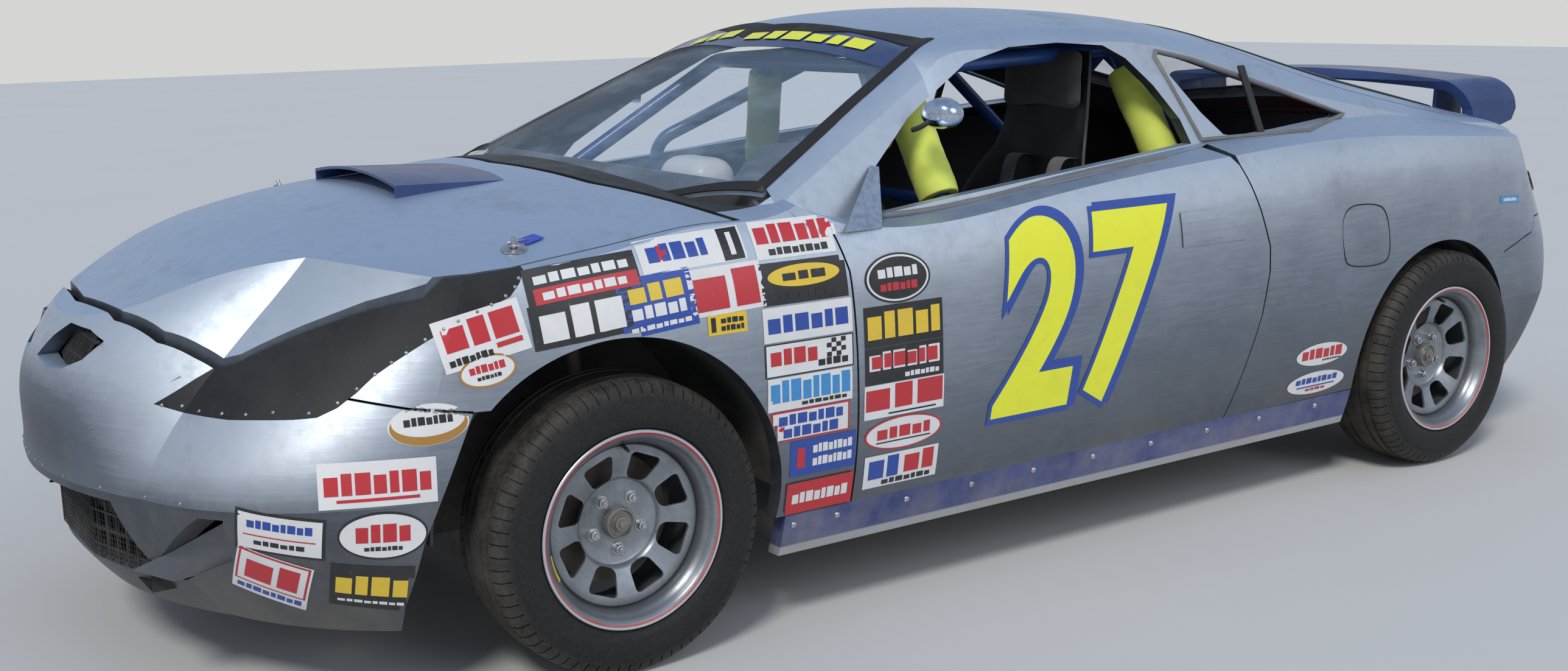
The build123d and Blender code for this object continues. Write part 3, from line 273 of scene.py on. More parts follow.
def tyre_rubber():
    """Black rubber, with dust on the tread and a clean side."""
    made = Finish("tyre_rubber", Specular_IOR_Level=0.35)
    patch = made.noise(11.0, 6.0, 0.75)
    fine = made.noise(120.0, 3.0, 0.7)
    tread = made.between(axle_distance(made), TYRE_R - 0.036, TYRE_R - 0.006)
    clean = made.mix(made.between(fine, 0.4, 0.7), (0.010, 0.010, 0.011), (0.019, 0.019, 0.019))
    dust = made.between(patch + fine * 0.35, 0.50, 0.88, 0.0, 0.75) * (tread * 0.75 + 0.05)
    tone = made.mix(dust, clean, (0.13, 0.112, 0.088))
    return made.feed(Base_Color=tone, Roughness=made.between(patch, 0.3, 0.7, 0.50, 0.72),
                     Normal=made.bump(fine, 0.0005, 0.35))


def axle_distance(made):
    """The distance from the nearer axle, in metres."""
    middle, half = (FRONT_AXLE_Y + REAR_AXLE_Y) / 2, (REAR_AXLE_Y - FRONT_AXLE_Y) / 2
    along = (made.part("Y") - middle).absolute() - half
    up = made.part("Z") - AXLE_Z
    return (along * along + up * up).power(0.5)


def wheel_steel():
    """Painted steel wheel, with a painted highlight on the rim edge and painted shade in the hollow between
    disc and rim.
    """
    made = Finish("wheel_steel", metallic=0.75)
    patch = made.noise(16.0, 5.0, 0.65)
    fine = made.noise(140.0, 3.0, 0.7)
    tone = made.mix(made.between(patch, 0.3, 0.72), (0.36, 0.39, 0.42), (0.23, 0.245, 0.265))
    tone = made.mix(made.between(fine, 0.6, 0.72, 0.0, 0.40), tone, (0.10, 0.09, 0.08))
    radius = axle_distance(made)
    # Painted highlight: a thin bright band round the rim edge
    edge = made.between(radius, RIM_EDGE_R - 0.001, RIM_EDGE_R + 0.001)
    tone = made.mix(edge, tone, (0.66, 0.68, 0.71))
    # Painted shade: darker in the hollow between disc and rim
    hollow = made.between(radius, 0.150, 0.172, 0.0, 0.45) * made.between(radius, 0.172, 0.190, 1.0, 0.0)
    tone = made.mix(hollow, tone, (0.07, 0.07, 0.075))
    return made.feed(Base_Color=tone, Roughness=made.between(patch, 0.3, 0.7, 0.28, 0.46),
                     Normal=made.bump(fine, 0.0003, 0.3))


def foam(name, colour):
    """Open foam with fine cells."""
    made = Finish(name, roughness=0.75, Sheen_Weight=0.15)
    patch = made.noise(7.0, 5.0, 0.7)
    cells = made.noise(420.0, 2.0, 0.5)
    tone = made.mix(made.between(patch, 0.35, 0.7, 0.0, 0.6), colour, tuple(c * 0.78 for c in colour))
    return made.feed(Base_Color=tone, Normal=made.bump(cells, 0.0008, 0.5))


def woven(name, colour, scale=900.0):
    """Cloth or webbing with a diagonal weave."""
    made = Finish(name, roughness=0.85, Sheen_Weight=0.3)
    weave = made.node("ShaderNodeTexWave", {"wave_type": "BANDS", "bands_direction": "DIAGONAL"},
                      {"Vector": made.at(), "Scale": scale / 3.0, "Distortion": 1.5})
    patch = made.noise(9.0, 5.0, 0.7)
    pale = tuple(min(1.0, c * 2.4 + 0.02) for c in colour)
    tone = made.mix(made.between(patch, 0.35, 0.75), colour, pale)
    return made.feed(Base_Color=tone, Normal=made.bump(weave + patch * 2.0, 0.0012, 0.5))


def vinyl(name, colour, roughness=0.34):
    """Sticker film, a little faded and flecked."""
    made = Finish(name, Coat_Weight=0.25, Coat_Roughness=0.2)
    patch = made.noise(12.0, 6.0, 0.7)
    fleck = made.between(made.noise(70.0, 4.0, 0.8), 0.66, 0.73, 0.0, 0.35)
    faded = tuple(c * 0.6 + 0.05 for c in colour)
    tone = made.mix(made.between(patch, 0.45, 0.8, 0.0, 0.35), colour, faded)
    tone = made.mix(fleck, tone, (0.45, 0.43, 0.40))
    return made.feed(Base_Color=tone, Roughness=made.between(patch, 0.3, 0.7, roughness, roughness + 0.15))


def plain_metal(name, colour, roughness, metallic=1.0):
    """Bare fittings' metal with a patchy shine."""
    made = Finish(name, metallic=metallic)
    patch = made.noise(60.0, 4.0, 0.7)
    tone = made.mix(made.between(patch, 0.4, 0.75), colour, tuple(c * 0.5 for c in colour))
    return made.feed(Base_Color=tone, Roughness=made.between(patch, 0.3, 0.7, roughness, roughness + 0.18))


# Finishes made from a few values: name, maker, its values and its options
FINISHES = [
    ("mesh_wire", dull_paint, [(0.045, 0.045, 0.045)], {"metallic": 0.4, "roughness": 0.5}),
    ("rocker_blue", gloss_paint, [(0.012, 0.045, 0.25), (0.008, 0.028, 0.15), 0.30, 0.186], {}),
    ("wing_blue", gloss_paint, [(0.022, 0.055, 0.19), (0.014, 0.034, 0.12), 0.36], {}),
    ("cage_blue", gloss_paint, [(0.025, 0.10, 0.36), (0.015, 0.05, 0.2), 0.25], {}),
    ("pad_foam", foam, [(0.74, 0.82, 0.13)], {}),
    ("lamp_red", gloss_paint, [(0.05, 0.012, 0.012), (0.02, 0.008, 0.008), 0.2], {}),
    ("floor_paint", dull_paint, [(0.16, 0.16, 0.165)], {"amount": 0.4}),
    ("frame_paint", dull_paint, [(0.035, 0.035, 0.036)], {"amount": 0.5}),
    ("black_metal", dull_paint, [(0.020, 0.020, 0.021)], {"amount": 0.15, "roughness": 0.5}),
    ("dash_cover", dull_paint, [(0.075, 0.08, 0.09)], {"amount": 0.1, "roughness": 0.75}),
    ("seat_cloth", woven, [(0.014, 0.014, 0.015)], {}),
    ("engine_iron", dull_paint, [(0.12, 0.12, 0.12)], {"amount": 0.4, "metallic": 0.5}),
    ("radiator_core", dull_paint, [(0.20, 0.20, 0.21)], {"amount": 0.3, "metallic": 0.7}),
    ("exhaust_steel", dull_paint, [(0.22, 0.19, 0.16)], {"amount": 0.6, "metallic": 0.8}),
    ("fuel_cell_red", dull_paint, [(0.30, 0.03, 0.025)], {"amount": 0.3}),
    ("bright_steel", plain_metal, [(0.60, 0.60, 0.60), 0.25], {}),
    ("knuckle_iron", dull_paint, [(0.14, 0.11, 0.09)], {"amount": 0.6, "metallic": 0.3}),
    ("seal_black", dull_paint, [(0.012, 0.012, 0.012)], {"amount": 0.2, "roughness": 0.6}),
    ("seal_grey", dull_paint, [(0.20, 0.20, 0.20)], {"amount": 0.2, "roughness": 0.6}),
    ("rivet_metal", plain_metal, [(0.42, 0.42, 0.42), 0.4], {}),
    ("line_red", gloss_paint, [(0.50, 0.03, 0.03), (0.35, 0.02, 0.02), 0.3], {}),
    ("cap_dust", dull_paint, [(0.30, 0.29, 0.27)], {"amount": 0.5, "metallic": 0.6, "roughness": 0.45}),
    ("belt_grey", woven, [(0.10, 0.10, 0.11), 1400.0], {}),
    ("seat_shell_black", dull_paint, [(0.020, 0.020, 0.021)], {"amount": 0.1, "roughness": 0.4}),
    ("vinyl_white", vinyl, [(0.78, 0.78, 0.77)], {}),
    ("vinyl_red", vinyl, [(0.55, 0.025, 0.035)], {}),
    ("vinyl_blue", vinyl, [(0.02, 0.07, 0.36)], {}),
    ("vinyl_sky", vinyl, [(0.05, 0.28, 0.62)], {}),
    ("vinyl_yellow", vinyl, [(0.86, 0.88, 0.035), 0.3], {}),
    ("vinyl_gold", vinyl, [(0.80, 0.55, 0.04)], {}),
    ("vinyl_black", vinyl, [(0.015, 0.015, 0.016)], {}),
    ("vinyl_ochre", vinyl, [(0.42, 0.21, 0.035)], {}),
    ("band_blue", vinyl, [(0.010, 0.035, 0.13), 0.15], {}),
    ("mirror_face", plain_metal, [(0.85, 0.87, 0.9), 0.04], {}),
    ("plate_silver", plain_metal, [(0.62, 0.69, 0.78), 0.32], {}),
    ("mirror_shell", plain_metal, [(0.62, 0.70, 0.82), 0.10], {}),
    ("pin_blue", gloss_paint, [(0.02, 0.06, 0.55), (0.01, 0.04, 0.4), 0.3], {})]
MATERIALS = {}


def make_materials():
    for maker in (bare_silver, lamp_sheet, clear_sheet, wheel_steel, tyre_rubber):
        MATERIALS[maker.__name__] = maker()
    for name, maker, values, options in FINISHES:
        MATERIALS[name] = maker(name, *values, **options)


# Helpers for pieces
def clear_selection():
    if bpy.context.object and bpy.context.object.mode != "OBJECT":
        bpy.ops.object.mode_set(mode="OBJECT")
    bpy.ops.object.select_all(action="DESELECT")
    bpy.context.tool_settings.mesh_select_mode = (True, False, False)


def pick(*pieces):
    """Selects these objects only, the last one active."""
    clear_selection()
    for piece in pieces:
        piece.select_set(True)
    bpy.context.view_layer.objects.active = pieces[-1]
    return pieces[-1]


def settle(piece):
    """Puts the object's place into its mesh."""
    pick(piece)
    bpy.ops.object.transform_apply(location=True, rotation=True, scale=True)
    return piece


def name_it(piece, name, material=None):
    piece.name = name
    piece.data.name = name
    if material:
        piece.data.materials.clear()
        piece.data.materials.append(MATERIALS[material])
    return piece


def modifier(piece, kind, **settings):
    pick(piece)
    made = piece.modifiers.new(kind.lower(), kind)
    for key, value in settings.items():
        setattr(made, key, value)
    bpy.ops.object.modifier_apply(modifier=made.name)
    return piece


def join(pieces, name):
    pick(*pieces)
    if len(pieces) > 1:
        bpy.ops.object.join()
    made = bpy.context.object
    made.name = name
    made.data.name = name
    return made


def smooth(piece, degrees=30.0):
    pick(piece)
    bpy.ops.object.shade_smooth_by_angle(angle=math.radians(degrees))
    return piece


def edit_all(piece, *steps):
    """Runs steps in edit mode with the whole mesh selected."""
    pick(piece)
    bpy.ops.object.mode_set(mode="EDIT")
    for step in steps:
        bpy.ops.mesh.select_all(action="SELECT")
        step()
    bpy.ops.object.mode_set(mode="OBJECT")
    return piece


def outward(piece):
    """Merges doubles and turns every face out."""
    return edit_all(piece, lambda: bpy.ops.mesh.remove_doubles(threshold=0.00002),
                    lambda: bpy.ops.mesh.normals_make_consistent(inside=False))


def node_copy(node, name):
    """A merged copy of a frame node's mesh, with its own data."""
    piece = bpy.data.objects.new(name, NODES[node].data.copy())
    bpy.context.scene.collection.objects.link(piece)
    return edit_all(piece, lambda: bpy.ops.mesh.remove_doubles(threshold=0.00005))


def box_piece(name, low, high, material, bevel=0.0, segments=2):
    """A block between two corners with rounded edges."""
    clear_selection()
    middle = [(a + b) / 2 for a, b in zip(low, high)]
    bpy.ops.mesh.primitive_cube_add(size=1.0, location=middle)
    piece = bpy.context.object
    piece.scale = [b - a for a, b in zip(low, high)]
    settle(piece)
    if bevel:
        modifier(piece, "BEVEL", width=bevel, segments=segments)
    return name_it(piece, name, material)


def turned(name, profile, material, steps=64, capped=False):
    """A turned piece about the X line through the origin: a circle extruded ring by ring
    through (distance out, radius) points."""
    clear_selection()
    out, radius = profile[0]
    bpy.ops.mesh.primitive_circle_add(vertices=steps, radius=radius, fill_type="NOTHING",
                                      location=(out, 0, 0), rotation=(0, math.pi / 2, 0))
    piece = settle(bpy.context.object)
    bpy.ops.object.mode_set(mode="EDIT")
    bpy.ops.mesh.select_all(action="SELECT")
    for (out_a, r_a), (out_b, r_b) in zip(profile, profile[1:]):
        bpy.ops.mesh.extrude_region_move(TRANSFORM_OT_translate={"value": (out_b - out_a, 0, 0)})
        if r_b != r_a:
            bpy.ops.transform.resize(value=(1, r_b / r_a, r_b / r_a), center_override=(out_b, 0, 0))
    if capped:
        bpy.ops.mesh.select_all(action="SELECT")
        bpy.ops.mesh.fill_holes(sides=0)
    bpy.ops.object.mode_set(mode="OBJECT")
    return name_it(outward(piece), name, material)


def twin(piece, name):
    """A copy with its own mesh."""
    copy = piece.copy()
    copy.data = piece.data.copy()
    bpy.context.scene.collection.objects.link(copy)
    copy.name = name
    copy.data.name = name
    return copy


def placed(piece, place, turn=None, side=LEFT):
    """Moves a piece made at the origin, mirrored first for the right side."""
    if side == RIGHT:
        piece.matrix_world = Matrix.Diagonal((-1, 1, 1, 1)) @ piece.matrix_world
        edit_all(settle(piece), bpy.ops.mesh.flip_normals)
    turn = turn or Matrix.Identity(4)
    piece.matrix_world = Matrix.Translation(place) @ turn @ piece.matrix_world
    return settle(piece)


def on_both(side, place):
    """A place on the left, taken over to the given side."""
    return (side * place[0], *place[1:])


def mirrored(piece, name):
    return placed(twin(piece, name), (0, 0, 0), side=RIGHT)


def pointing(direction):
    """The turn that takes a piece modelled along Z to a direction."""
    return Vector(direction).to_track_quat("Z", "Y").to_matrix().to_4x4()


def choose(piece, test, kind="FACE"):
    """Selects in edit mode the faces or edges whose middle passes the test."""
    pick(piece)
    bpy.ops.object.mode_set(mode="EDIT")
    bpy.ops.mesh.select_mode(type=kind)
    bpy.ops.mesh.select_all(action="DESELECT")
    bpy.ops.object.mode_set(mode="OBJECT")
    mesh = piece.data
    if kind == "FACE":
        for face in mesh.polygons:
            face.select = bool(test(face.center, face.normal))
    else:
        for edge in mesh.edges:
            a, b = (mesh.vertices[i].co for i in edge.vertices)
            edge.select = bool(test(a, b))
    bpy.ops.object.mode_set(mode="EDIT")


def slice_all(piece, cuts, **options):
    """Cuts a piece right through along planes, each a point and a normal."""
    pick(piece)
    bpy.ops.object.mode_set(mode="EDIT")
    for point, normal in cuts:
        bpy.ops.mesh.select_all(action="SELECT")
        bpy.ops.mesh.bisect(plane_co=point, plane_no=normal, **options)
    bpy.ops.object.mode_set(mode="OBJECT")
    return piece


def keep_faces(piece, test):
    """Deletes the faces whose middle fails the test."""
    choose(piece, lambda centre, normal: not test(centre, normal))
    bpy.ops.mesh.delete(type="FACE")
    bpy.ops.object.mode_set(mode="OBJECT")
    return piece


def rod(name, points, radius, material, smooth_steps=0, cyclic=False):
    """A round rod or cord along points, as a mesh."""
    curve = bpy.data.curves.new(name, "CURVE")
    curve.dimensions = "3D"
    spline = curve.splines.new("NURBS" if smooth_steps else "POLY")
    spline.points.add(len(points) - 1)
    for place, point in zip(spline.points, points):
        place.co = (*point, 1.0)
    spline.use_cyclic_u = cyclic
    if smooth_steps:
        spline.order_u = 3
        spline.use_endpoint_u = not cyclic
        spline.resolution_u = smooth_steps
    curve.bevel_depth = radius
    curve.bevel_resolution = 3
    curve.use_fill_caps = not cyclic
    piece = bpy.data.objects.new(name, curve)
    bpy.context.scene.collection.objects.link(piece)
    pick(piece)
    bpy.ops.object.convert(target="MESH")
    piece = bpy.context.object
    smooth(piece, 50)
    return name_it(piece, name, material)


SHELL = {}


def make_shell():
    """One joined copy of the outer panels, which thin pieces are laid on; removed at the end."""
    shell = join([node_copy(n, "lay_" + n) for n in SHELL_NODES], "lay_shell")
    shell.hide_render = True
    SHELL["object"] = shell


def hit(origin, direction):
    """The first place on the outer panels along a line, and its normal."""
    found, place, normal, _ = SHELL["object"].ray_cast(Vector(origin), Vector(direction).normalized())
    if not found:
        raise RuntimeError(f"nothing is hit from {tuple(origin)}")
    return place, normal


def on_side(side, along, up):
    return hit((side * 1.4, along, up), (-side, 0, 0))


def on_top(across, along):
    return hit((across, along, 2.0), (0, 0, -1))


def on_nose(across, up):
    return hit((across, -3.0, up), (0, 1, 0))


def dome_field(name, spots, radius, height, material, body):
    """Rivet heads: one dome modelled once and copied to each (place, normal)."""
    clear_selection()
    bpy.ops.mesh.primitive_uv_sphere_add(segments=8, ring_count=6, radius=radius)
    first = bpy.context.object
    first.scale = (1, 1, height / radius)
    settle(first)
    slice_all(first, [((0, 0, -0.0002), (0, 0, 1))], clear_inner=True)
    pieces = [twin(first, name) for _ in spots]
    for copy, (place, normal) in zip(pieces, spots):
        copy.matrix_world = Matrix.Translation(place) @ pointing(normal)
    bpy.data.objects.remove(first)
    made = settle(join(pieces, name))
    smooth(made, 60)
    name_it(made, name, material)
    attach(made, body)
    return made


def show(piece, body, *replaced, slot=None):
    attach(piece, body)
    if replaced:
        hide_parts(*replaced)
    return piece


# Stickers
OVAL_RINGS = (1.0, 0.87, 0.73, 0.58, 0.42, 0.25, 0.1)
SHEET_CELL = 0.012
CHECKS = 4


def is_dark_check(centre):
    return (math.floor(centre.x * CHECKS) + math.floor(centre.y * CHECKS)) % 2 == 1


def patch(wide, high, kind="block"):
    """A flat sheet in many small faces, ready to be laid on the body."""
    clear_selection()
    if kind == "oval":
        bpy.ops.mesh.primitive_circle_add(vertices=44, radius=0.5, fill_type="NOTHING")
        piece = bpy.context.object
        bpy.ops.object.mode_set(mode="EDIT")
        bpy.ops.mesh.select_all(action="SELECT")
        for near, far in zip(OVAL_RINGS, OVAL_RINGS[1:]):
            bpy.ops.mesh.extrude_region_move(TRANSFORM_OT_translate={"value": (0, 0, 0)})
            bpy.ops.transform.resize(value=(far / near,) * 3, center_override=(0, 0, 0))
        bpy.ops.mesh.edge_face_add()
        bpy.ops.object.mode_set(mode="OBJECT")
    else:
        cells = [CHECKS if kind == "check" else max(1, round(size / SHEET_CELL)) for size in (wide, high)]
        bpy.ops.mesh.primitive_grid_add(x_subdivisions=cells[0], y_subdivisions=cells[1], size=1.0)
        piece = bpy.context.object
        if kind == "check":
            keep_faces(piece, lambda centre, normal: not is_dark_check(centre))
    piece.scale = (wide, high, 1)
    return settle(piece)


LAY_HEIGHT = 0.06
SHEET_GAP, LEVEL_STEP = 0.0010, 0.0004
LOOSE_GAP = 0.006


def lay(piece, place, normal, along, level=0, turn=0.0, shift=(0.0, 0.0), target=None):
    """Lays a flat piece on the body, its X as near to the given direction as it can be."""
    normal = Vector(normal)
    across = Vector(along)
    across = (across - normal * across.dot(normal)).normalized()
    frame_turn = Matrix((across, normal.cross(across), normal)).transposed().to_4x4()
    piece.matrix_world = (Matrix.Translation(Vector(place) + normal * LAY_HEIGHT) @ frame_turn
                          @ Matrix.Rotation(turn, 4, "Z") @ Matrix.Translation((*shift, 0)))
    modifier(piece, "SHRINKWRAP", target=target or SHELL["object"], wrap_method="PROJECT",
             wrap_mode="ABOVE_SURFACE", use_project_z=True, use_negative_direction=True,
             use_positive_direction=False, offset=SHEET_GAP + LEVEL_STEP * level, project_limit=0.3)
    settle(piece)
    total = sum((face.normal * face.area for face in piece.data.polygons), Vector())
    if total.dot(normal) < 0:
        edit_all(piece, bpy.ops.mesh.flip_normals)
    return piece


def trim_loose(piece, normal_limit=0.75):
    """Cuts off the faces of a laid piece that went past an edge of the body."""
    def lies(centre, normal):
        _, place, body_normal, _ = SHELL["object"].closest_point_on_mesh(centre)
        return (place - centre).length < LOOSE_GAP and normal.dot(body_normal) > normal_limit

    return keep_faces(piece, lies)


def near_body(place):
    """The nearest place on the outer panels, and its normal."""
    _, found, normal, _ = SHELL["object"].closest_point_on_mesh(Vector(place))
    return found, normal


ROW_WIDTHS = (1.0, 0.75, 1.1, 0.9, 0.65, 1.05, 0.8, 0.95)
ROW_GAP = 0.22
SHORT_BLOCK = 0.86


def mark_blocks(kind, wide, high, across, up):
    """The sheets of one mark on a sticker: a row of plain upright blocks, or one sheet."""
    if not kind.startswith("row"):
        return [(kind, wide, high, across, up)]
    count = int(kind[3:])
    widths = [ROW_WIDTHS[k % len(ROW_WIDTHS)] for k in range(count)]
    unit = wide / (sum(widths) + ROW_GAP * (count - 1))
    blocks, at = [], across - wide / 2
    for k, share in enumerate(widths):
        tall = high * (1.0 if k % 3 else SHORT_BLOCK)
        blocks.append(("block", unit * share, tall, at + unit * share / 2, up - (high - tall) / 2))
        at += unit * (share + ROW_GAP)
    return blocks


def sticker_sheets(shape, base, wide, high, marks):
    """A sticker's flat sheets by level and colour, from its shape, size and marks."""
    sheets = {(0, base): [(shape, wide, high, 0, 0)]}
    for level, colour, kind, w, h, across, up in marks:
        sheets.setdefault((level, colour), []).extend(
            mark_blocks(kind, w * wide, h * high, across * wide, up * high))
    return sheets


def flat_piece(blocks, name):
    """One flat piece of several sheets, each (kind, wide, high, across, up)."""
    made = []
    for kind, wide, high, across, up in blocks:
        sheet = patch(wide, high, kind)
        sheet.location = (across, up, 0)
        made.append(settle(sheet))
    return join(made, name)


# Sizes and colours a user would change
class StageSettings(bpy.types.PropertyGroup):
    camera_place: FloatVectorProperty(name="Camera place", description="Where the camera stands", size=3,
                                      default=(3.691, -2.783, 1.347), subtype="TRANSLATION", unit="LENGTH")
    camera_turn: FloatProperty(name="Camera turn", description="Turn of the camera about the upright",
                               default=math.radians(55.83), subtype="ANGLE")
    camera_dip: FloatProperty(name="Camera dip", description="How far the camera looks down",
                              default=math.radians(11.39), subtype="ANGLE")
    camera_roll: FloatProperty(name="Camera roll", description="Lean of the camera",
                               default=math.radians(-1.06), subtype="ANGLE")
    lens: FloatProperty(name="Lens", description="Focal length in millimetres", default=38.92)
    floor_colour: FloatVectorProperty(name="Floor colour", description="Plain pale floor", size=3,
                                      default=(0.62, 0.62, 0.61), subtype="COLOR")
    sun_strength: FloatProperty(name="Sun strength", description="Strength of the main light", default=1.6)
    sky_strength: FloatProperty(name="Sky strength", description="Strength of the light all round",
                                default=0.62)


class TrimSettings(bpy.types.PropertyGroup):
    race_number: StringProperty(name="Race number", description="Plain race number on both doors",
                                default="27")
    number_height: FloatProperty(name="Number height", description="Height of the door number",
                                 default=0.46, unit="LENGTH")
    rivet_radius: FloatProperty(name="Rivet radius", description="Radius of a rivet head",
                                default=0.0042, unit="LENGTH")
    tread_blocks: IntProperty(name="Tread blocks", description="Blocks round one tyre", default=72)
    number_width: FloatProperty(name="Number width", description="Width of the door number",
                                default=0.58, unit="LENGTH")
    number_place: FloatVectorProperty(name="Number place", size=2, default=(-0.01, 0.61), unit="LENGTH",
                                      description="Middle of the door number, along and up")


# Stage
SUN_AIM = (-0.42, 0.50, -0.76)
FILL_AIM = (-0.75, -0.25, -0.45)
SKY_STOPS = ((0.0, (0.40, 0.40, 0.40)), (0.06, (0.84, 0.87, 0.90)), (0.35, (0.62, 0.72, 0.88)),
             (1.0, (0.38, 0.50, 0.74)))
BACKDROP_GLOW = 1.08


class CAR_OT_stage(bpy.types.Operator):
    """Adds the camera, the soft lights and the pale floor"""
    bl_idname = "stock_car.stage"
    bl_label = "Stage"

    def camera(self, scene, s):
        data = bpy.data.cameras.new("camera")
        data.lens = s.lens
        data.sensor_width = 36.0
        data.clip_end = 200.0
        camera = bpy.data.objects.new("camera", data)
        scene.collection.objects.link(camera)
        turn = Euler((math.pi / 2 - s.camera_dip, 0.0, s.camera_turn)).to_matrix()
        turn = turn @ Matrix.Rotation(s.camera_roll, 3, "Z")
        camera.matrix_world = Matrix.Translation(s.camera_place) @ turn.to_4x4()
        scene.camera = camera

    def floor(self, s):
        clear_selection()
        bpy.ops.mesh.primitive_plane_add(size=60.0, location=(0, 0, 0))
        floor = bpy.context.object
        floor.name = "floor"
        made = Finish("floor_grey", tuple(s.floor_colour), 0.9)
        grain = made.noise(0.6, 4.0, 0.6)
        colour = made.mix(made.between(grain, 0.3, 0.7), tuple(c * 0.97 for c in s.floor_colour),
                          tuple(s.floor_colour))
        floor.data.materials.append(made.feed(Base_Color=colour))

    def sky(self, scene, s):
        """Light by height from all round, with a plain backdrop where the camera looks."""
        world = bpy.data.worlds.new("sky")
        scene.world = world
        world.use_nodes = True
        nodes, link = world.node_tree.nodes, world.node_tree.links.new
        nodes.clear()
        out, light, seen, both, path, ramp, place, split = [nodes.new("ShaderNode" + kind) for kind in (
            "OutputWorld", "Background", "Background", "MixShader", "LightPath", "ValToRGB", "TexCoord",
            "SeparateXYZ")]
        link(place.outputs["Generated"], split.inputs[0])
        link(split.outputs["Z"], ramp.inputs[0])
        for k, (at, colour) in enumerate(SKY_STOPS):
            stop = ramp.color_ramp.elements[k] if k < 2 else ramp.color_ramp.elements.new(at)
            stop.position = at
            stop.color = (*colour, 1)
        link(ramp.outputs[0], light.inputs[0])
        light.inputs[1].default_value = s.sky_strength
        seen.inputs[0].default_value = (*s.floor_colour, 1)
        seen.inputs[1].default_value = BACKDROP_GLOW
        link(path.outputs["Is Camera Ray"], both.inputs[0])
        link(light.outputs[0], both.inputs[1])
        link(seen.outputs[0], both.inputs[2])
        link(both.outputs[0], out.inputs[0])

    def lamp(self, scene, name, aim, strength, spread, colour):
        lamp = bpy.data.lights.new(name, "SUN")
        lamp.energy = strength
        lamp.angle = math.radians(spread)
        lamp.color = colour
        piece = bpy.data.objects.new(name, lamp)
        scene.collection.objects.link(piece)
        piece.rotation_euler = Vector(aim).to_track_quat("-Z", "Y").to_euler()

    def execute(self, context):
        scene = context.scene
        s = scene.stock_car_stage
        self.camera(scene, s)
        self.floor(s)
        self.sky(scene, s)
        self.lamp(scene, "sun", SUN_AIM, s.sun_strength, 14.0, (1.0, 0.965, 0.91))
        self.lamp(scene, "fill", FILL_AIM, 0.5, 40.0, (0.92, 0.95, 1.0))
        scene.view_settings.view_transform = "Standard"
        return {"FINISHED"}


# Panels and frame pieces
class CAR_OT_panels(bpy.types.Operator):
    """Gives every frame piece its finish"""
    bl_idname = "stock_car.panels"
    bl_label = "Panels"

    def execute(self, context):
        for entry in frame["record"]["subparts"]:
            for slot in NODES[entry["node"]].material_slots:
                slot.material = MATERIALS[entry["material_slot"]]
        return {"FINISHED"}


